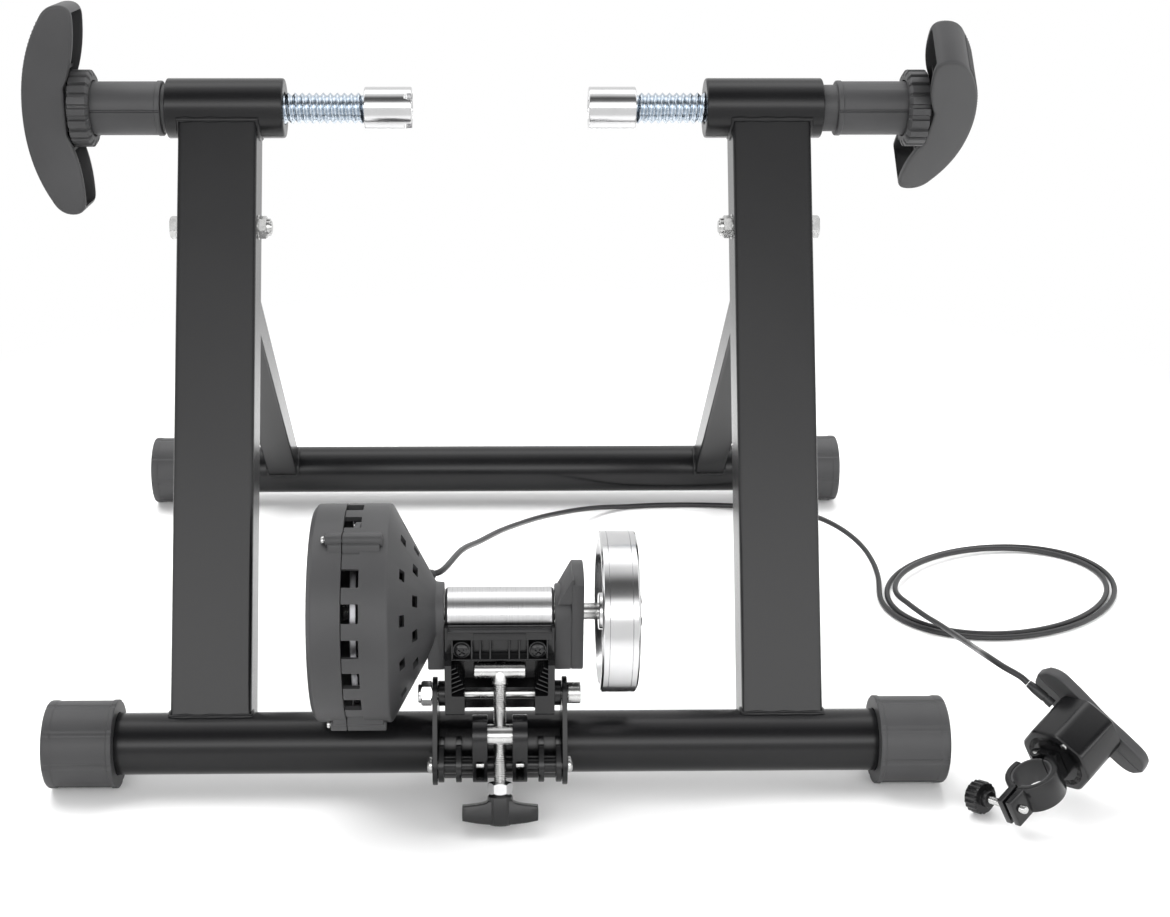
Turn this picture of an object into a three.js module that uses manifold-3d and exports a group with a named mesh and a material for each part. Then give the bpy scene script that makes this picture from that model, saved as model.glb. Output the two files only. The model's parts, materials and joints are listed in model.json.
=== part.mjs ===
// Folding magnetic turbo trainer stand for a bicycle's rear wheel, with its cable remote.
// Millimetres, +X to the right, +Y from the front base tube to the rear one, +Z up.
import * as THREE from 'three';
import { mergeVertices } from 'three/addons/utils/BufferGeometryUtils.js';
import Module from 'manifold-3d';

const wasm = await Module();
wasm.setup();

// Clearances
const seatGap = 0.3;
const runGap = 0.5;
const cutOverrun = 2;
const weldTolerance = 0.0005;

// Facets round a full circle
const tubeSides = 24;
const drumSides = 32;
const smallSides = 12;
const wireSides = 8;
const loopSides = 6;
const hexSides = 6;
const arcSteps = 5;

// Stance of the two frames
const baseTubeRadius = 19;
const baseTubeWall = 2;
const baseTubeHeight = 26.5;
const frontTubeHalfLength = 271.4;
const rearTubeHalfLength = 278.4;
const stanceLength = 425;
const axleHeight = 379;
const axleSetback = 196.8;

// Foot caps
const capRadius = 27.2;
const capLength = 43;
const capEndThickness = 5.2;
const capChamfer = 3.5;
const capLip = 1;

// Front uprights, open channels that the rear legs fold into
const uprightX = 176.5;
const uprightWidth = 50;
const uprightDepth = 30;
const uprightWall = 2;
const uprightFootSetback = 5.75;

// Rear legs and the fold pivot
const legWidth = 24;
const legDepth = 24;
const legWall = 2;
const pivotDrop = 68.5;
const foldBoltRadius = 4;
const foldHeadRadius = 7.4;
const foldHeadLength = 5.5;
const foldNutLength = 8.5;
const foldNutRadius = 7;
const foldBushRadius = 8;

// Clamp sleeves, and the axle clamps that screw through them
const sleeveRadius = 19;
const sleeveInnerX = 135;
const sleeveOuterX = 210;
const sleeveCounterbore = 15.3;
const sleeveThreadBore = 10.4;
const sleeveThreadLength = 28;
const cupFaceX = 53.5;
const rightClampOffset = 6.5;
const cupRadius = 13.6;
const cupLength = 30.5;
const cupBoreRadius = 8.6;
const cupBoreDepth = 12;
const cupNotchWidth = 5;
const cupNotchDepth = 5;
const cupNotches = 4;
const screwCoreRadius = 8.4;
const screwCrestRadius = 10;
const screwPitch = 4.5;
const screwSocketDepth = 7;
const screwEndX = 262;
const hubInnerX = 212.8;
const hubOuterX = 268;
const hubRadius = 17.5;
const hubNeckRadius = 14.8;
const hubNeckLength = 23;
const hubBoreRadius = 10.4;
const lockRingRadius = 24.4;
const lockRingToothDepth = 1.5;
const lockRingTeeth = 20;
const lockRingInnerX = 257;
const lockRingLength = 13;

// Clamp handles
const handleSpan = 132;
const handleWidth = 34;
const handleOuterX = 300;
const handleTipOuterX = 281;
const handleTipInnerX = 264;
const handleMiddleInnerX = 272.4;
const handleShell = 3.2;
const handleTipRadius = 9;
const handleBossRadius = 15;
const leftHandleTurn = -4;
const rightHandleTurn = 40;

// Resistance unit: roller axis and tilt pivot
const unitX = 1.5;
const rollerY = 0;
const rollerZ = 117.5;
const rollerRadius = 15;
const rollerInnerX = -32.4;
const rollerOuterX = 32.5;
const shaftRadius = 5;
const shaftLeftX = -94;
const shaftRightX = 92;
const bearingRadius = 12.7;
const bearingWidth = 8;
const bearingPocketRadius = 13;
const cheekRadius = 17;
const cheekInnerX = 33;
const cheekThickness = 10;
const cheekDrop = 31;
const finRadius = 31;
const finThickness = 7;
const finDrop = 31;

// Drum that holds the magnets and the eddy disc
const drumRadius = 65.5;
const drumWall = 3;
const drumCoverX = -111;
const drumCoverRimRadius = 63.5;
const drumSeamX = -90;
const drumShoulderX = -63;
const drumNeckX = -38;
const drumNeckRadius = 18;
const drumHubRadius = 16.5;
const drumHubEndX = -66;
const drumFaceThickness = 3.5;
const drumFaceChamfer = 4;
const ventCount = 20;
const ventLength = 10;
const ventWidth = 11;
const lugRadius = 4;
const lugReach = 66.6;
const lugLength = 33;
const lugX = -100;
const lugAngles = [23.8, 143.8, 263.8];
const lugScrewRadius = 1.6;
const lugScrewHeadRadius = 2.4;
const lugScrewHeadLength = 2;

// Eddy disc, magnets and flywheel
const discRadius = 54;
const discThickness = 4;
const discX = -86;
const discHubRadius = 11;
const discHubLength = 8;
const magnetCount = 8;
const magnetRadius = 9;
const magnetThickness = 4.5;
const magnetCircle = 40;
const carrierRadius = 52;
const carrierThickness = 4;
const carrierX = -69;
const carrierSleeveLength = 6;
const flywheelRadius = 48.5;
const flywheelX = 59.5;
const flywheelWidth = 22;
const flywheelRimWidth = 5;
const flywheelWebThickness = 12;
const flywheelHubRadius = 11;
const flywheelChamfer = 1.2;
const flywheelNutRadius = 9;
const flywheelNutLength = 6;

// Roller cradle, tilt pivot bolt and its bracket on the base tube
const cradleHalfWidth = 32.7;
const cradleWall = 4;
const cradleFrontY = -31;
const cradleBackY = 17;
const cradleShieldY = -19.2;
const cradleShieldInnerY = -16.5;
const cradleShoulderZ = 100;
const cradleFloorZ = 63;
const cradleFloorTopZ = 77;
const cradleCeilingZ = 97;
const cradlePocketBackY = -9;
const cradleSlotHalfWidth = 21;
const cradleSlotBackY = -20.3;
const cradleScrewX = 24.5;
const cradleScrewZ = 104.5;
const cradleScrewRadius = 4.6;
const cradleScrewLength = 2.4;
const tiltY = -15;
const tiltZ = 70;
const tiltBoltRadius = 4;
const tiltBossRadius = 7.6;
const tiltHeadRadius = 7.5;
const tiltHeadLength = 8;
const tiltNutLength = 8.5;
const plateInnerX = 37.4;
const plateThickness = 3;
const plateLobeRadius = 10;
const plateLowRadius = 12;
const plateLowY = -34;
const plateLowZ = 31.5;
const plateRearRadius = 7;
const plateRearY = 6;
const plateRearZ = 50;
const blockHalfWidth = 37;
const blockFrontRadius = 10.5;
const blockWebThickness = 3.5;
const blockMiddleWebX = 26.5;
const earPocketWall = 2.2;
const crossBoltRadius = 3;
const crossBoltHeadRadius = 5;
const crossBoltHeadLength = 3;

// Tension screw: barrel nut in the bracket, head in the cradle, knob at the bottom
const barrelY = -38;
const barrelZ = 54.7;
const barrelRadius = 6.3;
const barrelHalfLength = 16;
const earInner = 7.4;
const earThickness = 9;
const earRadius = 12;
const headY = -22;
const headZ = 90;
const headRadius = 5;
const headHalfLength = 15.5;
const headSocketDepth = 4.5;
const rodRadius = 3.9;
const rodLength = 80;
const jamNutStart = 67;
const jamNutLength = 6.5;
const jamNutRadius = 7.5;
const knobStart = 74;
const knobHubRadius = 7.2;
const knobHubLength = 18;
const knobSpan = 45;
const knobWingStart = 79;
const knobWingLength = 10;
const knobWingDepth = 10;

// Remote lever, laid on the floor to the right of the stand
const remoteBeyondTube = 78.2;
const remoteY = -25.38;
const remoteZ = 38.95;
const remoteAxisShares = [0.71, 0.61, 0.355];
const remoteUpShares = [-0.504, -0.068, 0.866];
const housingRadius = 23;
const housingHalfLength = 17.5;
const housingWall = 2.6;
const housingFloor = 3;
const housingChamfer = 3;
const leverPostRadius = 4;
const spoolRadius = 19.6;
const spoolLength = 22;
const leverThickness = 7;
const leverSpan = 84;
const leverEndRadius = 11;
const leverTipRadius = 8;
const leverAngle = -128.6;
const barX = -38;
const barRadius = 11.3;
const jawRadius = 16;
const jawHalfHeight = 9;
const jawSplit = 0.5;
const jawPinX = -22;
const jawPinY = 8.4;
const jawPinRadius = 1.6;
const knuckleRadius = 3.7;
const knuckleShare = 0.34;
const armHalfWidth = 6.5;
const jawEarX = -60;
const jawEarReach = 6;
const jawEarThickness = 4.4;
const jawEarStart = 1;
const thumbRodRadius = 2.4;
const thumbRodClearance = 1.4;
const thumbKnobRadius = 10;
const thumbKnobStart = 22;
const thumbKnobLength = 9;
const thumbCollarRadius = 5;
const thumbCollarLength = 4;

// Cable from the drum to the remote
const cableRadius = 2;
const glandRadius = 3.4;
const glandLength = 7;
const glandCircle = 34;
const glandAngle = 11;
const ferruleRadius = 3;
const ferruleLength = 19;
const ferruleX = 12;
const ferruleAngle = 46;
const ferruleFoot = 23.3;
const cableRunSteps = 46;
const cableTailSteps = 27;
const loopTurns = 2;
const loopStepsPerTurn = 24;
const loopCentre = new THREE.Vector3(380, 249, 2.2);
const loopLongRadius = 97;
const loopShortRadius = 72;
const loopSkew = THREE.MathUtils.degToRad(25);
const loopSpacing = 5.8;
const loopStartAngle = 160;
const loopEndClimb = 4.8;
const loopClimbSteps = 9;

// Finishes
const finishes = {
  paint: { color: 0x1b1b1c, roughness: 0.42, metalness: 0.1 },
  mouldedPlastic: { color: 0x303031, roughness: 0.62, metalness: 0 },
  blackPlastic: { color: 0x121213, roughness: 0.35, metalness: 0 },
  zinc: { color: 0xa9b9c9, roughness: 0.35, metalness: 1 },
  chrome: { color: 0xd9dadc, roughness: 0.12, metalness: 1 },
  steel: { color: 0xb4b4b2, roughness: 0.35, metalness: 1 },
  aluminium: { color: 0xc9cacb, roughness: 0.3, metalness: 1 },
  magnet: { color: 0x7d7f83, roughness: 0.45, metalness: 0.8 },
  cableJacket: { color: 0x2a2a2b, roughness: 0.5, metalness: 0 },
};

const part = new THREE.Group();

// A welded copy of a closed geometry as a solid, with its faces pointing out
function solidOf(geometry) {
  const bare = geometry.clone();
  bare.deleteAttribute('normal');
  bare.deleteAttribute('uv');
  const welded = mergeVertices(bare, weldTolerance);
  const places = welded.attributes.position;
  const corners = [0, 1, 2].map(() => new THREE.Vector3());
  const triangles = [];
  let volume = 0;
  for (let start = 0; start < welded.index.count; start += 3) {
    const ids = [0, 1, 2].map((step) => welded.index.getX(start + step));
    if (new Set(ids).size < 3) continue;
    triangles.push(ids);
    ids.forEach((id, place) => corners[place].fromBufferAttribute(places, id));
    volume += corners[0].dot(corners[1].clone().cross(corners[2]));
  }
  if (volume < 0) triangles.forEach((ids) => ids.reverse());
  return new wasm.Manifold(new wasm.Mesh({
    numProp: 3,
    vertProperties: new Float32Array(places.array),
    triVerts: new Uint32Array(triangles.flat()),
  }));
}

function geometryOf(solid) {
  const mesh = solid.getMesh();
  const geometry = new THREE.BufferGeometry();
  geometry.setAttribute('position', new THREE.BufferAttribute(mesh.vertProperties, 3));
  geometry.setIndex(new THREE.BufferAttribute(mesh.triVerts, 1));
  return geometry;
}

function joined(...geometries) {
  const solids = geometries.map(solidOf);
  return geometryOf(solids.reduce((whole, next) => whole.add(next)));
}

function cut(geometry, ...tools) {
  const solids = tools.map(solidOf);
  return geometryOf(solids.reduce((rest, tool) => rest.subtract(tool), solidOf(geometry)));
}

function add(name, geometry, finish, parent = part) {
  const mesh = new THREE.Mesh(geometryOf(solidOf(geometry)), new THREE.MeshStandardMaterial(finishes[finish]));
  mesh.name = name;
  parent.add(mesh);
  return mesh;
}

// A cylinder along X between two places
function rodX(radius, startX, endX, y = 0, z = 0, sides = smallSides) {
  const rod = new THREE.CylinderGeometry(radius, radius, Math.abs(endX - startX), sides);
  return rod.rotateZ(Math.PI / 2).translate((startX + endX) / 2, y, z);
}

// A profile of [x, radius] points turned about an axis along X
function turnedX(profile, y = 0, z = 0, sides = tubeSides) {
  const points = [...profile, profile[0]].map(([x, radius]) => new THREE.Vector2(radius, x));
  return new THREE.LatheGeometry(points, sides).rotateZ(-Math.PI / 2).translate(0, y, z);
}

function ringX(outer, inner, startX, endX, y = 0, z = 0, sides = tubeSides) {
  return turnedX([[startX, inner], [startX, outer], [endX, outer], [endX, inner]], y, z, sides);
}

function box(startX, endX, startY, endY, startZ, endZ) {
  const block = new THREE.BoxGeometry(Math.abs(endX - startX), Math.abs(endY - startY), Math.abs(endZ - startZ));
  return block.translate((startX + endX) / 2, (startY + endY) / 2, (startZ + endZ) / 2);
}

// An outline in the Y-Z plane, given thickness along X
function plateX(outline, startX, endX, curveSegments = arcSteps) {
  const low = Math.min(startX, endX);
  const plate = new THREE.ExtrudeGeometry(outline, {
    depth: Math.abs(endX - startX), bevelEnabled: false, curveSegments,
  });
  const turn = new THREE.Matrix4().makeBasis(
    new THREE.Vector3(0, 1, 0), new THREE.Vector3(0, 0, 1), new THREE.Vector3(1, 0, 0),
  );
  return plate.applyMatrix4(turn).translate(low, 0, 0);
}

// A flat outline of straight sides
function polygon(points) {
  return new THREE.Shape(points.map(([across, up]) => new THREE.Vector2(across, up)));
}

// The outline of a belt drawn tight round circles, listed anticlockwise as [y, z, radius]
function beltOutline(circles) {
  const outline = new THREE.Shape();
  circles.forEach(([y, z, radius], place) => {
    const [beforeY, beforeZ, beforeRadius] = circles[(place + circles.length - 1) % circles.length];
    const [afterY, afterZ, afterRadius] = circles[(place + 1) % circles.length];
    const angleIn = tangentAngle(y - beforeY, z - beforeZ, beforeRadius - radius);
    const angleOut = tangentAngle(afterY - y, afterZ - z, radius - afterRadius);
    outline.absarc(y, z, radius, angleIn, angleOut, false);
  });
  return outline;
}

function tangentAngle(stepY, stepZ, radiusDrop) {
  const lean = Math.asin(radiusDrop / Math.hypot(stepY, stepZ));
  return Math.atan2(stepZ, stepY) - Math.PI / 2 + lean;
}

function capGeometry(side, outerX) {
  const open = outerX - capLength;
  const bore = baseTubeRadius + seatGap;
  const floor = outerX - capEndThickness;
  const profile = [
    [open, bore], [open, capRadius - capLip], [open + capLip, capRadius], [outerX - capChamfer, capRadius],
    [outerX, capRadius - capChamfer], [outerX, 0], [floor, 0], [floor, bore],
  ];
  const shell = turnedX(profile.map(([x, radius]) => [side * x, radius]));
  const below = box(side * (open - cutOverrun), side * (outerX + cutOverrun), -capRadius, capRadius,
    -capRadius - cutOverrun, -baseTubeHeight);
  return cut(shell, below);
}

// Base tubes and their caps, front and rear
const sides = [['left', -1], ['right', 1]];
function addBase(prefix, halfLength, y) {
  const tube = ringX(baseTubeRadius, baseTubeRadius - baseTubeWall, -halfLength, halfLength);
  add(`${prefix}_base_tube`, tube.translate(0, y, baseTubeHeight), 'paint');
  for (const [name, side] of sides) {
    const cap = capGeometry(side, halfLength + seatGap + capEndThickness);
    add(`${prefix}_${name}_foot_cap`, cap.translate(0, y, baseTubeHeight), 'mouldedPlastic');
  }
}
addBase('front', frontTubeHalfLength, 0);
addBase('rear', rearTubeHalfLength, stanceLength);

// A box along a line in the Y-Z plane, its own Z along the line
function alongLine(geometry, startY, startZ, endY, endZ) {
  const lean = Math.atan2(endY - startY, endZ - startZ);
  return geometry.rotateX(-lean).translate(0, startY, startZ);
}

// Front uprights
const footRun = Math.hypot(axleSetback, axleHeight - baseTubeHeight);
const footY = uprightFootSetback * (axleHeight - baseTubeHeight) / footRun;
const footZ = baseTubeHeight - uprightFootSetback * axleSetback / footRun;
const uprightLength = Math.hypot(axleSetback - footY, axleHeight - footZ);
const uprightHalf = uprightWidth / 2;
const pivotZ = axleHeight - pivotDrop;
const pivotY = footY + (pivotZ - footZ) * (axleSetback - footY) / (axleHeight - footZ);
for (const [name, side] of sides) {
  const middle = side * uprightX;
  const halfDepth = uprightDepth / 2;
  const hollowHalf = uprightHalf - uprightWall;
  const shell = box(middle - uprightHalf, middle + uprightHalf, -halfDepth, halfDepth, 0, uprightLength);
  const hollow = box(middle - hollowHalf, middle + hollowHalf, uprightWall - halfDepth, halfDepth + cutOverrun,
    -cutOverrun, uprightLength + cutOverrun);
  const channel = alongLine(cut(shell, hollow), footY, footZ, axleSetback, axleHeight);
  const reach = [middle - uprightWidth, middle + uprightWidth];
  add(`${name}_upright`, cut(
    channel,
    rodX(baseTubeRadius + seatGap, ...reach, 0, baseTubeHeight, tubeSides),
    rodX(sleeveRadius + seatGap, ...reach, axleSetback, axleHeight, tubeSides),
    rodX(foldBoltRadius + seatGap, ...reach, pivotY, pivotZ),
  ), 'paint');
}

// Rear legs, round at the fold pivot, with a bush that centres each in its channel
const legLength = Math.hypot(stanceLength - pivotY, pivotZ - baseTubeHeight);
for (const [name, side] of sides) {
  const middle = side * uprightX;
  const half = legWidth / 2;
  const hollowHalf = half - legWall;
  const hollowDepth = legDepth / 2 - legWall;
  const stem = box(middle - half, middle + half, -legDepth / 2, legDepth / 2, 0, legLength);
  const end = rodX(legDepth / 2, middle - half, middle + half);
  const bushHalf = uprightHalf - uprightWall - seatGap;
  const bush = rodX(foldBushRadius, middle - bushHalf, middle + bushHalf);
  const hollow = box(middle - hollowHalf, middle + hollowHalf, -hollowDepth, hollowDepth,
    legDepth, legLength + cutOverrun);
  const leg = alongLine(cut(joined(stem, end, bush), hollow), pivotY, pivotZ, stanceLength, baseTubeHeight);
  const reach = [middle - legWidth, middle + legWidth];
  add(`${name}_rear_leg`, cut(
    leg,
    rodX(baseTubeRadius + seatGap, ...reach, stanceLength, baseTubeHeight, tubeSides),
    rodX(foldBoltRadius + seatGap, ...reach, pivotY, pivotZ),
  ), 'paint');
}

// Fold bolts, each with its nut on the inner wall of the channel
const uprightOuterX = uprightX + uprightHalf;
const uprightInnerX = uprightX - uprightHalf;
const foldHeadX = uprightOuterX + seatGap;
const foldNutX = uprightInnerX - seatGap;
for (const [name, side] of sides) {
  add(`${name}_fold_bolt`, joined(
    rodX(foldBoltRadius, side * (foldNutX - foldNutLength), side * (foldHeadX + foldHeadLength / 2), pivotY, pivotZ),
    rodX(foldHeadRadius, side * foldHeadX, side * (foldHeadX + foldHeadLength), pivotY, pivotZ, hexSides),
    rodX(foldNutRadius, side * (foldNutX - foldNutLength + capLip), side * foldNutX, pivotY, pivotZ, hexSides),
  ), 'steel');
}

// Clamp sleeves: a plain counterbore for the hub's neck, then the threaded end
for (const [name, side] of sides) {
  const threadEnd = sleeveInnerX + sleeveThreadLength;
  const profile = [
    [sleeveInnerX, sleeveThreadBore], [sleeveInnerX, sleeveRadius - capLip], [sleeveInnerX + capLip, sleeveRadius],
    [sleeveOuterX, sleeveRadius], [sleeveOuterX, sleeveCounterbore], [threadEnd, sleeveCounterbore],
    [threadEnd, sleeveThreadBore],
  ];
  const sleeve = turnedX(profile.map(([x, radius]) => [side * x, radius]), axleSetback, axleHeight);
  add(`${name}_clamp_sleeve`, sleeve, 'paint');
}

// The crescent outline of a clamp handle, along its span and outwards
function handleOutline(shrink) {
  const half = handleSpan / 2 - shrink;
  const outer = handleOuterX - shrink;
  const tipOuter = handleTipOuterX - shrink;
  const tipInner = handleTipInnerX - cutOverrun * Math.sign(shrink);
  const inner = handleMiddleInnerX - cutOverrun * Math.sign(shrink) * 2;
  const outline = new THREE.Shape();
  outline.moveTo(half - handleTipRadius, tipInner);
  outline.quadraticCurveTo(half, tipInner, half, (tipInner + tipOuter) / 2);
  outline.quadraticCurveTo(half, tipOuter, half - handleTipRadius, tipOuter + handleTipRadius / 2);
  outline.quadraticCurveTo(half / 2, outer, 0, outer);
  outline.quadraticCurveTo(-half / 2, outer, handleTipRadius - half, tipOuter + handleTipRadius / 2);
  outline.quadraticCurveTo(-half, tipOuter, -half, (tipInner + tipOuter) / 2);
  outline.quadraticCurveTo(-half, tipInner, handleTipRadius - half, tipInner);
  outline.quadraticCurveTo(-half / 2, tipInner, -handleBossRadius, inner);
  outline.lineTo(handleBossRadius, inner);
  outline.quadraticCurveTo(half / 2, tipInner, half - handleTipRadius, tipInner);
  return outline;
}

function handleGeometry(side, turn, outwards) {
  const depthOf = (shrink) => handleWidth - 2 * shrink;
  const slabOf = (shrink) => new THREE.ExtrudeGeometry(handleOutline(shrink), {
    depth: depthOf(shrink), bevelEnabled: false, curveSegments: 5,
  }).translate(0, 0, -depthOf(shrink) / 2);
  const upright = new THREE.Matrix4().makeBasis(
    new THREE.Vector3(0, 0, 1), new THREE.Vector3(side, 0, 0), new THREE.Vector3(0, side, 0),
  );
  const shell = slabOf(0).applyMatrix4(upright);
  const hollow = slabOf(handleShell).applyMatrix4(upright);
  const boss = rodX(handleBossRadius, side * handleMiddleInnerX, side * (handleOuterX - handleShell));
  const socket = rodX(hubBoreRadius, side * (handleMiddleInnerX - cutOverrun),
    side * (handleMiddleInnerX + handleShell * 2));
  const whole = cut(joined(cut(shell, hollow), boss), socket);
  return whole.rotateX(turn).translate(side * outwards, axleSetback, axleHeight);
}

// One axle clamp: cup, threaded screw, hub, lock ring and handle
function addClamp(name, side, outwards, handleTurn) {
  const at = (x) => side * (x + outwards);
  const place = [axleSetback, axleHeight];
  const cupBack = cupFaceX + cupLength;
  const socketEnd = cupBack - screwSocketDepth;
  const boreEnd = cupFaceX + cupBoreDepth;
  const cup = turnedX([
    [boreEnd, 0], [boreEnd, cupBoreRadius], [cupFaceX, cupBoreRadius], [cupFaceX, cupRadius],
    [cupBack - capLip, cupRadius], [cupBack, cupRadius - capLip], [cupBack, screwCrestRadius + seatGap],
    [socketEnd, screwCrestRadius + seatGap], [socketEnd, 0],
  ].map(([x, radius]) => [at(x), radius]), ...place);
  const notches = Array.from({ length: cupNotches }, (_, index) => {
    const notch = box(at(cupFaceX - cutOverrun), at(cupFaceX + cupNotchDepth), -cupNotchWidth / 2,
      cupNotchWidth / 2, 0, cupRadius + cutOverrun);
    const angle = (index + 0.5) * 2 * Math.PI / cupNotches;
    return notch.rotateX(angle).translate(0, ...place);
  });
  add(`${name}_axle_cup`, cut(cup, ...notches), 'chrome');

  const screwStart = socketEnd + seatGap;
  const crests = Math.floor((sleeveInnerX - screwStart) / screwPitch);
  const profile = [[screwStart, 0], [screwStart, screwCoreRadius]];
  for (let crest = 0; crest < crests; crest += 1) {
    const start = screwStart + crest * screwPitch;
    profile.push([start + screwPitch / 2, screwCrestRadius], [start + screwPitch, screwCoreRadius]);
  }
  profile.push([sleeveInnerX, screwCrestRadius], [screwEndX, screwCrestRadius], [screwEndX, 0]);
  const screw = turnedX(profile.map(([x, radius]) => [at(x), radius]), ...place, smallSides);
  add(`${name}_clamp_screw`, screw, 'zinc');

  const neckStart = hubInnerX - hubNeckLength;
  const hub = turnedX([
    [neckStart, hubBoreRadius], [neckStart, hubNeckRadius], [hubInnerX, hubNeckRadius], [hubInnerX, hubRadius],
    [hubOuterX, hubRadius], [hubOuterX, hubBoreRadius],
  ].map(([x, radius]) => [at(x), radius]), ...place);
  add(`${name}_clamp_hub`, hub, 'mouldedPlastic');

  const rimPoints = Array.from({ length: lockRingTeeth * 2 }, (_, index) => {
    const radius = lockRingRadius - (index % 2) * lockRingToothDepth;
    const angle = index * Math.PI / lockRingTeeth;
    return [radius * Math.cos(angle), radius * Math.sin(angle)];
  });
  const ring = plateX(polygon(rimPoints), at(lockRingInnerX), at(lockRingInnerX + lockRingLength));
  const ringBore = rodX(hubRadius + seatGap, at(lockRingInnerX - cutOverrun),
    at(lockRingInnerX + lockRingLength + cutOverrun), 0, 0, tubeSides);
  add(`${name}_lock_ring`, cut(ring, ringBore).translate(0, ...place), 'mouldedPlastic');
  add(`${name}_handle`, handleGeometry(side, THREE.MathUtils.degToRad(handleTurn), outwards), 'mouldedPlastic');
}
addClamp('left', -1, 0, leftHandleTurn);
addClamp('right', 1, rightClampOffset, rightHandleTurn);

// Everything on the roller's axis is turned about it and then moved there
function onRoller(geometry) {
  return geometry.translate(unitX, rollerY, rollerZ);
}

// The guard at each end of the roller: round over the shaft, straight down to the cradle
function cheekBlock(startX, endX) {
  return joined(
    rodX(cheekRadius, startX, endX, 0, 0, tubeSides),
    box(startX, endX, -cheekRadius, cheekRadius, -cheekDrop, 0),
  );
}

const bearingEndX = cheekInnerX + seatGap + bearingWidth;
const coneInset = drumWall * 1.2;
const coneSlope = (drumRadius - drumNeckRadius) / (drumNeckX - drumShoulderX);
const drumInnerRadius = drumRadius - drumWall;
const hubRootX = drumNeckX - (drumHubRadius - drumNeckRadius + coneInset * coneSlope) / coneSlope;
const drumBackBody = turnedX([
  [drumSeamX, drumInnerRadius], [drumSeamX, drumRadius], [drumShoulderX, drumRadius], [drumNeckX, drumNeckRadius],
  [-cheekInnerX, drumNeckRadius], [-cheekInnerX, bearingPocketRadius], [drumHubEndX, bearingPocketRadius],
  [drumHubEndX, drumHubRadius], [hubRootX, drumHubRadius], [drumShoulderX - drumWall / 2, drumInnerRadius],
], 0, 0, drumSides);
const ventCuts = Array.from({ length: ventCount }, (_, index) => box(
  drumSeamX - cutOverrun, drumSeamX + ventLength, -ventWidth / 2, ventWidth / 2, drumInnerRadius - cutOverrun,
  drumRadius + cutOverrun,
).rotateX((index + 0.5) * 2 * Math.PI / ventCount));

// Screw lugs round the drum's rim, split by the seam between cover and back
function lugPlaces() {
  return lugAngles.map((angle) => {
    const turn = THREE.MathUtils.degToRad(angle);
    return [-lugReach * Math.sin(turn), lugReach * Math.cos(turn)];
  });
}
const lugEndX = lugX + lugLength;
const lugHoles = (radius, startX, endX) => lugPlaces().map(([y, z]) => rodX(radius, startX, endX, y, z, wireSides));
const drumHollow = rodX(drumInnerRadius, drumCoverX + drumFaceThickness, drumShoulderX - drumWall / 2, 0, 0, drumSides);
const drumBackLugs = cut(joined(...lugHoles(lugRadius, drumSeamX, lugEndX)), drumHollow);
const neckBore = rodX(bearingPocketRadius, drumHubEndX - cutOverrun, -cheekInnerX + cutOverrun, 0, 0, tubeSides);
const leftCheek = cut(cheekBlock(-cheekInnerX - cheekThickness, -cheekInnerX), neckBore);

// The cable's gland stands square on the cone behind the roller
const glandTurn = THREE.MathUtils.degToRad(glandAngle);
const glandOutward = new THREE.Vector3(0, Math.cos(glandTurn), Math.sin(glandTurn));
const coneFootX = drumNeckX - (glandCircle - drumNeckRadius) / coneSlope;
const glandFoot = glandOutward.clone().multiplyScalar(glandCircle).add(new THREE.Vector3(coneFootX, 0, 0));
const exitNormal = glandOutward.clone().add(new THREE.Vector3(coneSlope, 0, 0)).normalize();
const gland = new THREE.CylinderGeometry(glandRadius, glandRadius, glandLength + drumWall, smallSides);
gland.translate(0, (glandLength - drumWall) / 2, 0);
gland.applyQuaternion(new THREE.Quaternion().setFromUnitVectors(new THREE.Vector3(0, 1, 0), exitNormal));
gland.translate(glandFoot.x, glandFoot.y, glandFoot.z);
add('drum_back', onRoller(cut(
  joined(cut(drumBackBody, ...ventCuts), leftCheek, drumBackLugs, gland),
  ...lugHoles(lugScrewRadius + seatGap, drumSeamX - cutOverrun, lugEndX + cutOverrun),
)), 'mouldedPlastic');

const coverSeamX = drumSeamX - seatGap;
const coverBody = turnedX([
  [drumCoverX, 0], [drumCoverX, drumCoverRimRadius - drumFaceChamfer], [drumCoverX + drumFaceChamfer,
    drumCoverRimRadius], [coverSeamX, drumRadius], [coverSeamX, drumInnerRadius],
  [drumCoverX + drumFaceThickness + drumFaceChamfer, drumInnerRadius - drumWall],
  [drumCoverX + drumFaceThickness, drumCoverRimRadius - drumFaceChamfer - drumWall],
  [drumCoverX + drumFaceThickness, 0],
], 0, 0, drumSides);
const coverLugs = cut(
  joined(...lugHoles(lugRadius, lugX, coverSeamX)),
  rodX(drumInnerRadius, drumCoverX + drumFaceThickness, drumSeamX, 0, 0, drumSides),
);
add('drum_cover', onRoller(cut(
  joined(coverBody, coverLugs),
  ...lugHoles(lugScrewRadius + seatGap, lugX - cutOverrun, drumSeamX + cutOverrun),
)), 'mouldedPlastic');
lugPlaces().forEach(([y, z], index) => add(`drum_screw_${index + 1}`, onRoller(joined(
  rodX(lugScrewRadius, lugX - seatGap - lugScrewHeadLength / 2, lugEndX - lugScrewHeadLength, y, z, wireSides),
  rodX(lugScrewHeadRadius, lugX - seatGap - lugScrewHeadLength, lugX - seatGap, y, z),
)), 'steel'));

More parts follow.
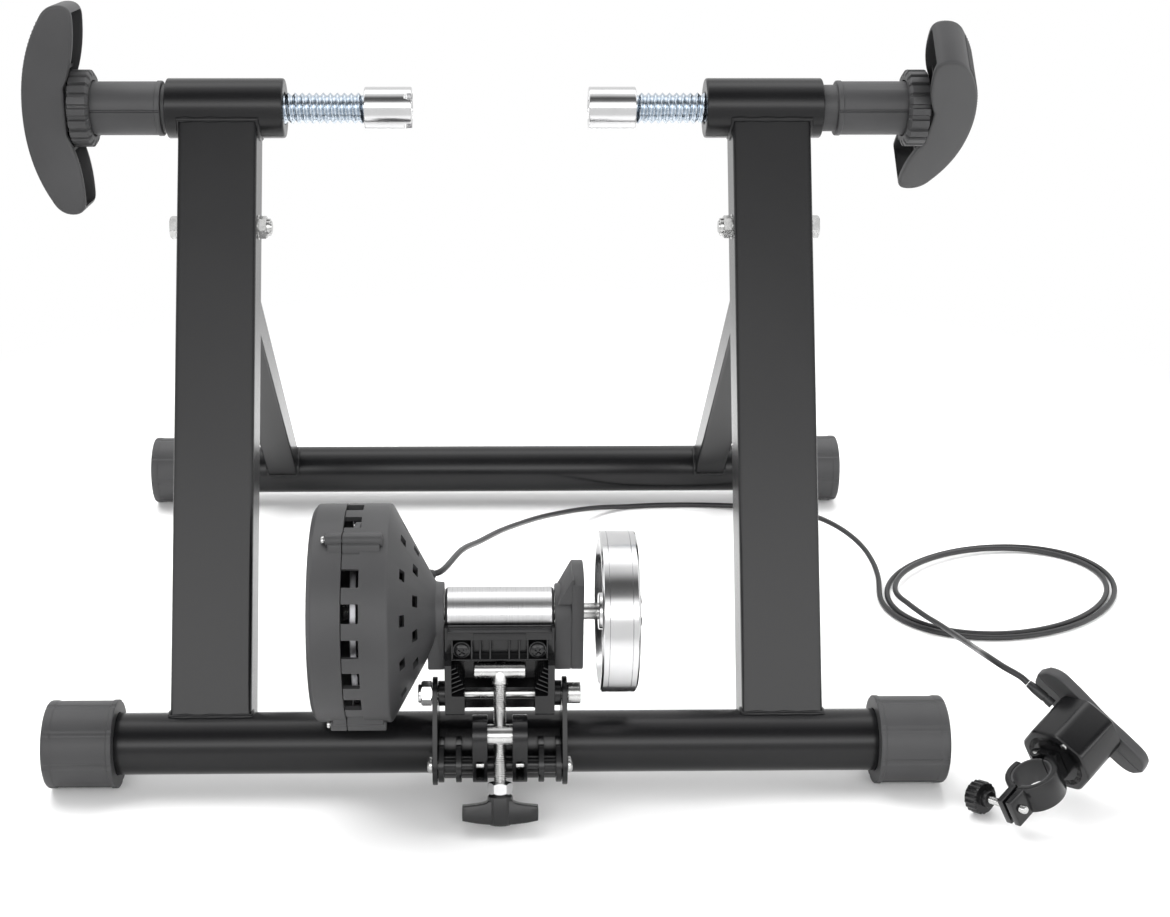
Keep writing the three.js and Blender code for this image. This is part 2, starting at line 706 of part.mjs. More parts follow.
const finX = cheekInnerX + cheekThickness;
const finDisc = joined(
  rodX(finRadius, finX, finX + finThickness, 0, 0, tubeSides),
  box(finX, finX + finThickness, -cheekRadius, cheekRadius, -finDrop, 0),
);
const finFront = box(finX - cutOverrun, finX + finThickness + cutOverrun, -finRadius - cutOverrun, -cheekRadius,
  -finRadius - cutOverrun, finRadius + cutOverrun);
const finBelow = box(finX - cutOverrun, finX + finThickness + cutOverrun, cheekRadius, finRadius + cutOverrun,
  -finRadius - cutOverrun, 0);
const rightBore = rodX(bearingPocketRadius, cheekInnerX - cutOverrun, bearingEndX + seatGap, 0, 0, tubeSides);
const shaftHole = rodX(shaftRadius + runGap, cheekInnerX, finX + finThickness + cutOverrun, 0, 0, tubeSides);
add('right_cheek', onRoller(cut(
  joined(cheekBlock(cheekInnerX, finX), cut(finDisc, finFront, finBelow)), rightBore, shaftHole,
)), 'mouldedPlastic');

const bearing = (startX) => ringX(bearingRadius, shaftRadius + seatGap, startX, startX + bearingWidth, 0, 0, tubeSides);
add('left_bearing', onRoller(bearing(-cheekInnerX - seatGap - bearingWidth)), 'steel');
add('right_bearing', onRoller(bearing(cheekInnerX + seatGap)), 'steel');

// Rotor: shaft, roller, eddy disc, flywheel and its nut
add('roller_shaft', onRoller(rodX(shaftRadius, shaftLeftX, shaftRightX, 0, 0, tubeSides)), 'steel');
add('roller', onRoller(ringX(rollerRadius, shaftRadius + seatGap, rollerInnerX, rollerOuterX, 0, 0, drumSides)), 'aluminium');
const discFace = discX + discThickness;
add('eddy_disc', onRoller(turnedX([
  [discX - discHubLength / 2, shaftRadius + seatGap], [discX - discHubLength / 2, discHubRadius],
  [discX, discHubRadius], [discX, discRadius], [discFace, discRadius], [discFace, shaftRadius + seatGap],
], 0, 0, drumSides)), 'aluminium');
const wheelEnd = flywheelX + flywheelWidth;
const webInset = (flywheelWidth - flywheelWebThickness) / 2;
const rimInner = flywheelRadius - flywheelRimWidth;
add('flywheel', onRoller(turnedX([
  [flywheelX, shaftRadius + seatGap], [flywheelX, flywheelHubRadius], [flywheelX + webInset, flywheelHubRadius],
  [flywheelX + webInset, rimInner], [flywheelX, rimInner], [flywheelX, flywheelRadius - flywheelChamfer],
  [flywheelX + flywheelChamfer, flywheelRadius], [wheelEnd - flywheelChamfer, flywheelRadius],
  [wheelEnd, flywheelRadius - flywheelChamfer], [wheelEnd, rimInner], [wheelEnd - webInset, rimInner],
  [wheelEnd - webInset, flywheelHubRadius], [wheelEnd, flywheelHubRadius], [wheelEnd, shaftRadius + seatGap],
], 0, 0, drumSides)), 'chrome');
const nutStart = wheelEnd + seatGap;
add('flywheel_nut', onRoller(cut(
  rodX(flywheelNutRadius, nutStart, nutStart + flywheelNutLength, 0, 0, hexSides),
  rodX(shaftRadius + seatGap, nutStart - cutOverrun, nutStart + flywheelNutLength + cutOverrun, 0, 0, smallSides),
)), 'steel');

// Magnet carrier, sliding on the drum's hub, and its magnets
const carrierBore = drumHubRadius + seatGap;
const carrierPlate = turnedX([
  [carrierX, carrierBore], [carrierX, carrierRadius], [carrierX + carrierThickness, carrierRadius],
  [carrierX + carrierThickness, carrierBore + drumWall], [carrierX + carrierThickness + carrierSleeveLength,
    carrierBore + drumWall], [carrierX + carrierThickness + carrierSleeveLength, carrierBore],
], 0, 0, drumSides);
const magnets = Array.from({ length: magnetCount }, (_, index) => {
  const angle = index * 2 * Math.PI / magnetCount;
  const seat = [magnetCircle * Math.cos(angle), magnetCircle * Math.sin(angle)];
  return rodX(magnetRadius, carrierX - magnetThickness, carrierX + carrierThickness / 2, ...seat, wireSides);
});
add('magnet_carrier', onRoller(joined(carrierPlate, ...magnets)), 'magnet');

// Roller cradle: a moulded block with a pocket in its front for the tension screw's head
const cradleX = [unitX - cradleHalfWidth, unitX + cradleHalfWidth];
const cradleSide = polygon([
  [cradleFrontY, cradleFloorZ], [cradleFrontY, cradleShoulderZ], [cradleShieldY, cradleShoulderZ + seatGap],
  [cradleShieldY, rollerZ], [cradleShieldInnerY, rollerZ], [cradleShieldInnerY, cradleCeilingZ + cradleWall],
  [cradleBackY, cradleCeilingZ + cradleWall], [cradleBackY, cradleFloorTopZ], [tiltY + tiltBossRadius, cradleFloorZ],
]);
const cradlePocket = box(cradleX[0] + cradleWall, cradleX[1] - cradleWall, cradleFrontY - cutOverrun,
  cradlePocketBackY, cradleFloorTopZ, cradleCeilingZ);
const cradleSlot = box(unitX - cradleSlotHalfWidth, unitX + cradleSlotHalfWidth, cradleFrontY - cutOverrun,
  cradleSlotBackY, cradleFloorZ - cutOverrun, cradleFloorTopZ + cutOverrun);
const tiltBoss = rodX(tiltBossRadius, unitX - plateInnerX + seatGap, unitX + plateInnerX - seatGap, tiltY, tiltZ);
const tiltHole = (radius) => rodX(radius, unitX - plateInnerX - plateThickness - cutOverrun,
  unitX + plateInnerX + plateThickness + cutOverrun, tiltY, tiltZ);
const rollerRoom = onRoller(rodX(rollerRadius + runGap * 2, -cheekInnerX, cheekInnerX, 0, 0, drumSides));
const cradleScrewHeads = [-1, 1].map((side) => {
  const head = new THREE.CylinderGeometry(cradleScrewRadius, cradleScrewRadius, cradleScrewLength * 2, smallSides);
  return head.translate(unitX + side * cradleScrewX, cradleShieldY, cradleScrewZ + cradleScrewRadius / 2);
});
add('roller_cradle', cut(
  joined(plateX(cradleSide, ...cradleX), tiltBoss, ...cradleScrewHeads), cradlePocket, cradleSlot, rollerRoom,
  tiltHole(tiltBoltRadius + seatGap),
), 'blackPlastic');

// Bracket on the front base tube: two plates, the moulded block between them, and the bolts
const plateOutline = beltOutline([
  [plateLowY, plateLowZ, plateLowRadius], [plateRearY, plateRearZ, plateRearRadius], [tiltY, tiltZ, plateLobeRadius],
]);
const tubeRoom = (radius) => rodX(radius, unitX - plateInnerX - plateThickness - cutOverrun,
  unitX + plateInnerX + plateThickness + cutOverrun, 0, baseTubeHeight, tubeSides);
const crossHole = (radius) => rodX(radius, unitX - plateInnerX - plateThickness - cutOverrun,
  unitX + plateInnerX + plateThickness + cutOverrun, plateLowY, plateLowZ);
for (const [name, side] of sides) {
  const plate = plateX(plateOutline, unitX + side * plateInnerX, unitX + side * (plateInnerX + plateThickness));
  add(`bracket_${name}_plate`, cut(
    plate, tubeRoom(baseTubeRadius + seatGap), tiltHole(tiltBoltRadius + seatGap), crossHole(crossBoltRadius + seatGap),
  ), 'paint');
}
const lowCorner = [plateLowY, plateLowZ, blockFrontRadius];
const tubeCorner = [0, baseTubeHeight, baseTubeRadius / 2];
const lowWeb = beltOutline([lowCorner, tubeCorner, [plateLowY, plateLowZ + blockFrontRadius, blockFrontRadius / 3]]);
const earOutline = beltOutline([lowCorner, tubeCorner, [barrelY, barrelZ, earRadius]]);
const blockWebs = [-1, 1].flatMap((side) => [blockHalfWidth, blockMiddleWebX].map((x) => plateX(
  lowWeb, unitX + side * x, unitX + side * (x - blockWebThickness),
)));
const blockEars = [-1, 1].map((side) => plateX(
  earOutline, unitX + side * earInner, unitX + side * (earInner + earThickness),
));
const earPockets = [-1, 1].map((side) => box(
  unitX + side * (earInner + earPocketWall), unitX + side * (earInner + earThickness - earPocketWall),
  plateLowY - plateLowRadius, plateLowY + blockFrontRadius / 2, plateLowZ - blockFrontRadius / 2,
  plateLowZ + blockFrontRadius,
));
const blockSaddle = ringX(baseTubeRadius + seatGap + blockWebThickness, baseTubeRadius,
  unitX - blockHalfWidth, unitX + blockHalfWidth, 0, baseTubeHeight);
const saddleFront = box(unitX - blockHalfWidth - cutOverrun, unitX + blockHalfWidth + cutOverrun,
  -plateInnerX * 2, -baseTubeRadius / 2, plateLowZ - plateLowRadius, barrelZ - earRadius);
const saddle = geometryOf(solidOf(blockSaddle).intersect(solidOf(saddleFront)));
add('bracket_block', cut(
  joined(saddle, ...blockWebs, ...blockEars),
  ...earPockets, tubeRoom(baseTubeRadius + seatGap), crossHole(crossBoltRadius + seatGap),
  rodX(barrelRadius + seatGap, unitX - earInner - earThickness - cutOverrun,
    unitX + earInner + earThickness + cutOverrun, barrelY, barrelZ, tubeSides),
), 'blackPlastic');
const plateOuterX = plateInnerX + plateThickness + seatGap;
add('bracket_cross_bolt', joined(
  rodX(crossBoltRadius, unitX - plateOuterX - crossBoltHeadLength / 2, unitX + plateOuterX + crossBoltHeadLength / 2,
    plateLowY, plateLowZ),
  ...[-1, 1].map((side) => rodX(crossBoltHeadRadius, unitX + side * plateOuterX,
    unitX + side * (plateOuterX + crossBoltHeadLength), plateLowY, plateLowZ)),
), 'steel');
add('unit_pivot_bolt', joined(
  rodX(tiltBoltRadius, unitX - plateOuterX - tiltNutLength, unitX + plateOuterX + tiltHeadLength / 2, tiltY, tiltZ),
  rodX(tiltHeadRadius, unitX + plateOuterX, unitX + plateOuterX + tiltHeadLength, tiltY, tiltZ, hexSides),
), 'steel');
add('unit_pivot_nut', cut(
  rodX(tiltHeadRadius, unitX - plateOuterX - tiltNutLength, unitX - plateOuterX, tiltY, tiltZ, hexSides),
  rodX(tiltBoltRadius + seatGap, unitX - plateOuterX - tiltNutLength - cutOverrun, unitX - plateOuterX + cutOverrun,
    tiltY, tiltZ),
), 'steel');

// Tension screw, its own Z running down from the head's centre through the barrel nut
const tensionLean = Math.atan2(barrelY - headY, barrelZ - headZ);
function onTension(geometry) {
  return geometry.rotateX(-tensionLean).translate(unitX, headY, headZ);
}
function rodZ(radius, startZ, endZ, sides = smallSides) {
  const rod = new THREE.CylinderGeometry(radius, radius, endZ - startZ, sides);
  return rod.rotateX(Math.PI / 2).translate(0, 0, (startZ + endZ) / 2);
}
add('barrel_nut', cut(
  rodX(barrelRadius, unitX - barrelHalfLength, unitX + barrelHalfLength, barrelY, barrelZ, tubeSides),
  onTension(rodZ(rodRadius + seatGap, 0, rodLength)),
), 'steel');
add('tension_head', onTension(cut(
  rodX(headRadius, -headHalfLength, headHalfLength, 0, 0, tubeSides),
  rodZ(rodRadius + seatGap, headRadius - headSocketDepth, headRadius + cutOverrun),
)), 'steel');
add('tension_screw', onTension(rodZ(rodRadius, headRadius - headSocketDepth + seatGap, rodLength)), 'zinc');
add('tension_jam_nut', onTension(cut(
  rodZ(jamNutRadius, jamNutStart, jamNutStart + jamNutLength, hexSides),
  rodZ(rodRadius + seatGap, jamNutStart - cutOverrun, jamNutStart + jamNutLength + cutOverrun),
)), 'steel');
const wingEnd = knobWingStart + knobWingLength;
const wingOutline = new THREE.Shape();
wingOutline.moveTo(-knobSpan / 2, knobWingStart);
wingOutline.quadraticCurveTo(-knobHubRadius, knobWingStart, -knobHubRadius, knobStart + knobHubLength / 6);
wingOutline.lineTo(knobHubRadius, knobStart + knobHubLength / 6);
wingOutline.quadraticCurveTo(knobHubRadius, knobWingStart, knobSpan / 2, knobWingStart);
wingOutline.lineTo(knobSpan / 2, wingEnd);
wingOutline.quadraticCurveTo(0, wingEnd + knobWingLength / 2, -knobSpan / 2, wingEnd);
const wings = new THREE.ExtrudeGeometry(wingOutline, { depth: knobWingDepth, bevelEnabled: false, curveSegments: 5 });
wings.rotateX(Math.PI / 2).translate(0, knobWingDepth / 2, 0);
add('tension_knob', onTension(cut(
  joined(wings, rodZ(knobHubRadius, knobStart, knobStart + knobHubLength)),
  rodZ(rodRadius + seatGap, knobStart - cutOverrun, rodLength + seatGap),
)), 'blackPlastic');

// Remote: a group turned so that the lever's axis is its own X and the bar clamp's axis its own Z
const remoteAxis = new THREE.Vector3(...remoteAxisShares).normalize();
const remoteSide = new THREE.Vector3(...remoteUpShares).cross(remoteAxis).normalize();
const remoteUp = remoteAxis.clone().cross(remoteSide);
const remote = new THREE.Group();
remote.quaternion.setFromRotationMatrix(new THREE.Matrix4().makeBasis(remoteAxis, remoteSide, remoteUp));
remote.position.set(frontTubeHalfLength + remoteBeyondTube, remoteY, remoteZ);
part.add(remote);

const ferruleTurn = THREE.MathUtils.degToRad(ferruleAngle);
function alongFerrule(geometry) {
  return geometry.rotateX(ferruleTurn - Math.PI / 2).translate(ferruleX, 0, 0);
}
const housingShell = turnedX([
  [-housingHalfLength, 0], [-housingHalfLength, housingRadius - housingChamfer],
  [housingChamfer - housingHalfLength, housingRadius], [housingHalfLength, housingRadius],
  [housingHalfLength, housingRadius - housingWall], [housingFloor - housingHalfLength, housingRadius - housingWall],
  [housingFloor - housingHalfLength, leverPostRadius], [housingHalfLength, leverPostRadius], [housingHalfLength, 0],
]);
const ferruleHole = alongFerrule(rodZ(cableRadius + seatGap, housingRadius / 2, housingRadius * 2, wireSides));
add('remote_housing', cut(housingShell, ferruleHole), 'blackPlastic', remote);

// Lever: a cable spool inside the housing and a two-winged paddle outside it
const leverTurn = THREE.MathUtils.degToRad(leverAngle);
const paddleX = housingHalfLength + runGap;
const paddle = beltOutline([[-leverSpan / 2 + leverEndRadius, 0, leverEndRadius], [leverSpan / 2 - leverTipRadius, 0,
  leverTipRadius]]);
const spool = rodX(spoolRadius, paddleX - spoolLength, paddleX + leverThickness / 2, 0, 0, tubeSides);
const spoolBore = rodX(leverPostRadius + runGap, paddleX - spoolLength - cutOverrun, paddleX, 0, 0, smallSides);
add('remote_lever', cut(
  joined(plateX(paddle, paddleX, paddleX + leverThickness).rotateX(leverTurn), spool), spoolBore,
), 'blackPlastic', remote);

// Bar clamp: fixed jaw below the split, swing jaw above it, hinge pin and thumb screw
function jawRing(lowY, highY) {
  const ring = new THREE.LatheGeometry([
    new THREE.Vector2(barRadius, -jawHalfHeight), new THREE.Vector2(jawRadius, -jawHalfHeight),
    new THREE.Vector2(jawRadius, jawHalfHeight), new THREE.Vector2(barRadius, jawHalfHeight),
    new THREE.Vector2(barRadius, -jawHalfHeight),
  ], tubeSides).rotateX(Math.PI / 2).translate(barX, 0, 0);
  const keep = box(barX - jawRadius * 2, barX + jawRadius * 2, lowY, highY, -jawHalfHeight * 2, jawHalfHeight * 2);
  return geometryOf(solidOf(ring).intersect(solidOf(keep)));
}
function atPin(geometry) {
  return geometry.translate(jawPinX, jawPinY, 0);
}
function thumbRod(radius, startY, endY, sides = smallSides) {
  return new THREE.CylinderGeometry(radius, radius, endY - startY, sides).translate(jawEarX, (startY + endY) / 2, 0);
}
const knuckleHalf = jawHalfHeight * knuckleShare;
const pinHole = atPin(rodZ(jawPinRadius + seatGap, -jawHalfHeight * 2, jawHalfHeight * 2));
const barRoom = rodZ(barRadius, -jawHalfHeight * 2, jawHalfHeight * 2, tubeSides).translate(barX, 0, 0);
const earOuterX = jawEarX - jawEarReach;
const earInnerX = barX - (barRadius + jawRadius) / 2;
const splitHalf = jawSplit / 2;
const fixedArm = box(barX + barRadius, -housingHalfLength - seatGap, -armHalfWidth, -splitHalf,
  -jawHalfHeight, jawHalfHeight);
const fixedKnuckles = [-1, 1].map((end) => joined(
  atPin(rodZ(knuckleRadius, ...[end * (knuckleHalf + runGap), end * jawHalfHeight].sort((low, high) => low - high))),
  box(jawPinX, -housingHalfLength - seatGap, -armHalfWidth, jawPinY, end * (knuckleHalf + runGap),
    end * jawHalfHeight),
));
const fixedEar = box(earOuterX, earInnerX, -jawEarThickness - jawEarStart, -jawEarStart, -jawHalfHeight, jawHalfHeight);
add('remote_clamp_fixed', cut(
  joined(jawRing(-jawRadius * 2, -splitHalf), fixedArm, ...fixedKnuckles, fixedEar),
  pinHole, barRoom, thumbRod(thumbRodRadius + seatGap, -jawRadius, jawRadius),
), 'blackPlastic', remote);
const swingArm = box(barX + (barRadius + jawRadius) / 2 - cutOverrun, jawPinX, splitHalf, jawPinY, -knuckleHalf,
  knuckleHalf);
const swingEar = box(earOuterX, earInnerX, jawEarStart, jawEarStart + jawEarThickness, -jawHalfHeight, jawHalfHeight);
const knuckleTrim = [-1, 1].map((end) => box(barX + barRadius / 2, jawPinX + knuckleRadius * 2, splitHalf,
  jawRadius * 2, end * knuckleHalf, end * jawHalfHeight * 2));
add('remote_clamp_swing', cut(
  joined(cut(jawRing(splitHalf, jawRadius * 2), ...knuckleTrim), swingArm, atPin(rodZ(knuckleRadius, -knuckleHalf,
    knuckleHalf)), swingEar),
  pinHole, barRoom, thumbRod(thumbRodRadius + thumbRodClearance, -jawRadius, jawRadius),
), 'blackPlastic', remote);
add('remote_clamp_pin', atPin(rodZ(jawPinRadius, -jawHalfHeight, jawHalfHeight)), 'steel', remote);
add('remote_thumb_screw', joined(
  thumbRod(thumbRodRadius, -jawEarThickness * 2, thumbKnobStart + cutOverrun),
  thumbRod(thumbCollarRadius, thumbKnobStart - thumbCollarLength, thumbKnobStart + cutOverrun),
  thumbRod(thumbKnobRadius, thumbKnobStart, thumbKnobStart + thumbKnobLength, tubeSides),
), 'blackPlastic', remote);

// Cable ends: the gland on the drum, and the ferrule on the remote
const ferruleEnd = ferruleFoot + ferruleLength;
add('cable_ferrule', alongFerrule(cut(
  rodZ(ferruleRadius, ferruleFoot, ferruleEnd),
  rodZ(cableRadius / 2, ferruleFoot - cutOverrun, ferruleFoot + cutOverrun, wireSides),
)), 'cableJacket', remote);
remote.updateMatrixWorld(true);
const ferruleWay = new THREE.Vector3(0, Math.cos(ferruleTurn), Math.sin(ferruleTurn));
const remotePoint = (distance) => ferruleWay.clone().multiplyScalar(distance)
  .add(new THREE.Vector3(ferruleX, 0, 0)).applyMatrix4(remote.matrixWorld);

// The cable's route: chosen points to the floor, two loops by formula, chosen points to the remote
const glandBase = glandFoot.clone().add(new THREE.Vector3(unitX, rollerY, rollerZ));
const runPoints = [
  ...[0, glandLength, glandLength + cableRadius * 2].map((lead) => glandBase.clone().addScaledVector(exitNormal, lead)),
  ...[
    [-23, 93, 113], [-11.5, 150, 92], [2.3, 208, 72], [17.5, 263, 52], [33.7, 309, 35.5], [50.7, 347, 21.5],
    [68, 374, 12], [86, 391, 6], [107, 400, 2.6], [128, 403, 2.2], [150, 404, 2.2], [172, 403.5, 2.2],
    [202.3, 396.7, 4.2], [224.7, 379.5, 10.4], [246.2, 362.7, 14], [263.8, 346.4, 14.2], [277, 328.4, 12.6],
    [286, 308.6, 10.2], [290.6, 287, 7.4], [291.2, 266, 4.8],
  ].map((place) => new THREE.Vector3(...place)),
];
function loopPoint(step, steps) {
  const turns = step / loopStepsPerTurn;
  const angle = THREE.MathUtils.degToRad(loopStartAngle) + turns * 2 * Math.PI;
  const draw = loopSpacing * turns;
  const climb = Math.max(0, (step - steps + loopClimbSteps) / loopClimbSteps);
  const place = new THREE.Vector2(loopLongRadius - draw, loopShortRadius - draw)
    .multiply(new THREE.Vector2(Math.cos(angle), Math.sin(angle)))
    .rotateAround(new THREE.Vector2(), loopSkew);
  return new THREE.Vector3(place.x, place.y, loopEndClimb * climb).add(loopCentre);
}
const loopSteps = loopTurns * loopStepsPerTurn;
const loopPoints = Array.from({ length: loopSteps + 1 }, (_, step) => loopPoint(step, loopSteps));
const tailPoints = [
  ...[
    [304, 211, 8.8], [310.6, 190, 10.8], [316.6, 172, 13.4], [320.9, 150, 18], [322.8, 126, 25], [321.8, 102, 34],
    [317.3, 78, 45.5], [312.3, 55, 57], [308.6, 38, 65.5], [309.3, 25, 69.5], [315, 15, 69],
  ].map((place) => new THREE.Vector3(...place)),
  remotePoint(ferruleEnd + ferruleRadius * 2), remotePoint(ferruleEnd + seatGap),
];
const route = new THREE.CatmullRomCurve3([...runPoints, ...loopPoints, ...tailPoints]);
route.arcLengthDivisions = 2000;
const routeLength = route.getLength();

// A stretch of the route between two lengths along it
class Stretch extends THREE.Curve {
  constructor(start, end) {
    super();
    this.start = start;
    this.end = end;
  }

  getPoint(share, target = new THREE.Vector3()) {
    const length = this.start + (this.end - this.start) * share;
    return target.copy(route.getPointAt(length / routeLength));
  }
}

function lengthNear(point) {
  const tries = 4000;
  let best = 0;
  let least = Infinity;
  for (let index = 0; index <= tries; index += 1) {
    const gap = route.getPointAt(index / tries).distanceTo(point);
    if (gap < least) {
      least = gap;
      best = index / tries;
    }
  }
  return best * routeLength;
}

function cableTube(start, end, steps, sideCount) {
  const section = new THREE.Shape();
  for (let index = 0; index < sideCount; index += 1) {
    const angle = index * 2 * Math.PI / sideCount;
    const corner = [cableRadius * Math.cos(angle), cableRadius * Math.sin(angle)];
    if (index === 0) section.moveTo(...corner);
    else section.lineTo(...corner);
  }
  section.closePath();
  return new THREE.ExtrudeGeometry(section, { steps, bevelEnabled: false, extrudePath: new Stretch(start, end) });
}
const glandSeat = glandLength + seatGap;
const loopsStart = lengthNear(loopPoints[0]);
const loopsEnd = lengthNear(loopPoints[loopSteps]);
add('cable_run', cableTube(glandSeat, loopsStart, cableRunSteps, wireSides), 'cableJacket');
add('cable_loops', cableTube(loopsStart + seatGap, loopsEnd, loopSteps, loopSides), 'cableJacket');
add('cable_tail', cableTube(loopsEnd + seatGap, routeLength, cableTailSteps, wireSides), 'cableJacket');

// The least gap between the cable and itself, measured between points more than a few diameters apart
function leastGap() {
  const count = 1200;
  const points = Array.from({ length: count + 1 }, (_, index) => route.getPointAt(index / count));
  const apart = Math.ceil(cableRadius * 12 / (routeLength / count));
  let least = Infinity;
  for (let first = 0; first <= count; first += 1) {
    for (let second = first + apart; second <= count; second += 1) {
      least = Math.min(least, points[first].distanceTo(points[second]));
    }
  }
  return least - 2 * cableRadius;
}
console.log(`cable length ${routeLength.toFixed(0)} mm, least gap to itself ${leastGap().toFixed(2)} mm`);

// The origin is on the floor, under the middle of everything but the cable
const whole = new THREE.Box3();
part.updateMatrixWorld(true);
part.traverse((node) => {
  if (node.isMesh && !node.name.startsWith('cable_')) whole.expandByObject(node, true);
});
part.position.set(-(whole.min.x + whole.max.x) / 2, -(whole.min.y + whole.max.y) / 2, 0);
console.log(`origin at x ${(-part.position.x).toFixed(3)}, y ${(-part.position.y).toFixed(3)}`);

export default part;
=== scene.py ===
import json
import math

import bmesh
import bpy
from mathutils import Matrix, Vector


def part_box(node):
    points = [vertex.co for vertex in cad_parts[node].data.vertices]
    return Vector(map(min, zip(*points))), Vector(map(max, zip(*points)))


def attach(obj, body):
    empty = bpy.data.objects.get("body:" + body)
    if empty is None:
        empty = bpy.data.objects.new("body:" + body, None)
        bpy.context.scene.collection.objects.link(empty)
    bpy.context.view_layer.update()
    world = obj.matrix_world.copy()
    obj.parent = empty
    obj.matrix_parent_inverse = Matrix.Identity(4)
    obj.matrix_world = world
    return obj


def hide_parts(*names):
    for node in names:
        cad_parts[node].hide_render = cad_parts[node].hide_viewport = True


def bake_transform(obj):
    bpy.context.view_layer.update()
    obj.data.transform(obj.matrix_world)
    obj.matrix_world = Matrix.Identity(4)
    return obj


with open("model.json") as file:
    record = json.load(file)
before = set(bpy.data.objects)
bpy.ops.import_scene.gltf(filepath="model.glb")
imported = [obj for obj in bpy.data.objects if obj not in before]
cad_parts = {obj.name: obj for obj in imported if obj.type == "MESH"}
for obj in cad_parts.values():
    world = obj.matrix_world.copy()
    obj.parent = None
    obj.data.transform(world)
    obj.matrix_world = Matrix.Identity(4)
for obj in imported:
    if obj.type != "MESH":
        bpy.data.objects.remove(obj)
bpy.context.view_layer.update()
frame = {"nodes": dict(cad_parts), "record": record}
bodyOf = {node: body for body, nodes in frame["record"]["behaviour"]["bodies"].items() for node in nodes}

# Pieces are drawn in millimetres from the middle of the front base tube, at floor height
mm = 0.001
tubeLow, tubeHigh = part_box("front_base_tube")
midFront = Vector(((tubeLow.x + tubeHigh.x) / 2, (tubeLow.y + tubeHigh.y) / 2, 0))
toFrame = Matrix.Translation(midFront) @ Matrix.Scale(mm, 4)


def place(x, y, z):
    return toFrame @ Vector((x, y, z))


# Camera
cameraView = {
    "at": (0, -960.766, 628.683), "pitchDown": 23.166, "yawRight": 1.022, "roll": 0.198,
    "lens": 55.477, "sensor": 36, "shiftX": 0.0504, "near": 0.02, "far": 50,
}


def addCamera():
    pitch, yaw, roll = (math.radians(cameraView[k]) for k in ("pitchDown", "yawRight", "roll"))
    ahead = Vector((math.sin(yaw) * math.cos(pitch), math.cos(yaw) * math.cos(pitch), -math.sin(pitch)))
    level = Vector((math.cos(yaw), -math.sin(yaw), 0))
    upward = level.cross(ahead)
    right = level * math.cos(roll) + upward * math.sin(roll)
    upward = upward * math.cos(roll) - level * math.sin(roll)
    turn = Matrix((right, upward, -ahead)).transposed().to_4x4()
    data = bpy.data.cameras.new("camera")
    data.lens = cameraView["lens"]
    data.sensor_width = cameraView["sensor"]
    data.shift_x = cameraView["shiftX"]
    data.clip_start = cameraView["near"]
    data.clip_end = cameraView["far"]
    camera = bpy.data.objects.new("camera", data)
    camera.matrix_world = Matrix.Translation(place(*cameraView["at"])) @ turn
    bpy.context.scene.collection.objects.link(camera)
    bpy.context.scene.camera = camera


addCamera()
print("camera placed")


# Finishes: colours are linear, cloud, grain and brush are (scale per metre, detail), and bump is
# (strength, metres)
coats = {
    "paint": {
        "name": "framePaint", "slot": "frame_paint", "dark": (0.005, 0.005, 0.0055),
        "light": (0.008, 0.008, 0.0085), "flatRough": 0.25, "rough": (0.22, 0.29), "shine": 0.3,
        "cloud": (9, 4), "grain": (900, 2), "bump": (0.03, 0.0002),
    },
    "mould": {
        "name": "mouldedPlastic", "slot": "moulded_plastic", "dark": (0.031, 0.031, 0.032),
        "light": (0.046, 0.046, 0.0475), "flatRough": 0.48, "rough": (0.42, 0.58), "shine": 0.4,
        "cloud": (14, 5), "grain": (1600, 4), "bump": (0.16, 0.0003),
    },
    "black": {
        "name": "blackPlastic", "slot": "black_plastic", "dark": (0.004, 0.004, 0.0045),
        "light": (0.008, 0.008, 0.0085), "flatRough": 0.22, "rough": (0.18, 0.3), "shine": 0.4,
        "cloud": (20, 4), "grain": (700, 3), "bump": (0.04, 0.0002),
    },
    "cable": {
        "name": "cableJacket", "slot": "cable_jacket", "dark": (0.010, 0.010, 0.011),
        "light": (0.018, 0.018, 0.019), "flat": (0.014, 0.014, 0.015), "flatRough": 0.38, "rough": (0.3, 0.5),
        "shine": 0.5, "cloud": (30, 4), "grain": (1400, 2), "bump": (0.08, 0.0002),
    },
}
metals = {
    "zinc": {
        "name": "zincPlate", "slot": "zinc", "dark": (0.42, 0.48, 0.54), "light": (0.62, 0.68, 0.75),
        "rough": (0.2, 0.34), "brush": (300, 5), "bump": (0.05, 0.0002),
    },
    "chrome": {
        "name": "chromePlate", "slot": "chrome", "dark": (0.60, 0.60, 0.605), "light": (0.66, 0.66, 0.665),
        "rough": (0.14, 0.2), "brush": (60, 5),
    },
    "steel": {
        "name": "brightSteel", "slot": "steel", "dark": (0.46, 0.46, 0.455), "light": (0.62, 0.62, 0.615),
        "rough": (0.2, 0.32), "brush": (220, 5), "bump": (0.04, 0.0002),
    },
    "roller": {
        "name": "turnedAluminium", "slot": "aluminium", "dark": (0.58, 0.58, 0.585),
        "light": (0.68, 0.68, 0.685), "rough": (0.24, 0.34), "brush": (60, 5), "stretch": (40, 1, 1),
        "bump": (0.012, 0.0002),
    },
    "magnet": {
        "name": "magnetPlate", "slot": "steel", "dark": (0.28, 0.28, 0.29), "light": (0.42, 0.42, 0.44),
        "rough": (0.3, 0.5), "brush": (200, 5), "bump": (0.05, 0.0002),
    },
}


def newMaterial(name, colour, roughness, metallic=0.0, shine=0.5):
    material = bpy.data.materials.new(name)
    material.use_nodes = True
    nodes = material.node_tree.nodes
    shader = nodes["Principled BSDF"]
    shader.inputs["Base Color"].default_value = (*colour, 1)
    shader.inputs["Roughness"].default_value = roughness
    shader.inputs["Metallic"].default_value = metallic
    shader.inputs["Specular IOR Level"].default_value = shine
    return material, nodes, material.node_tree.links, shader


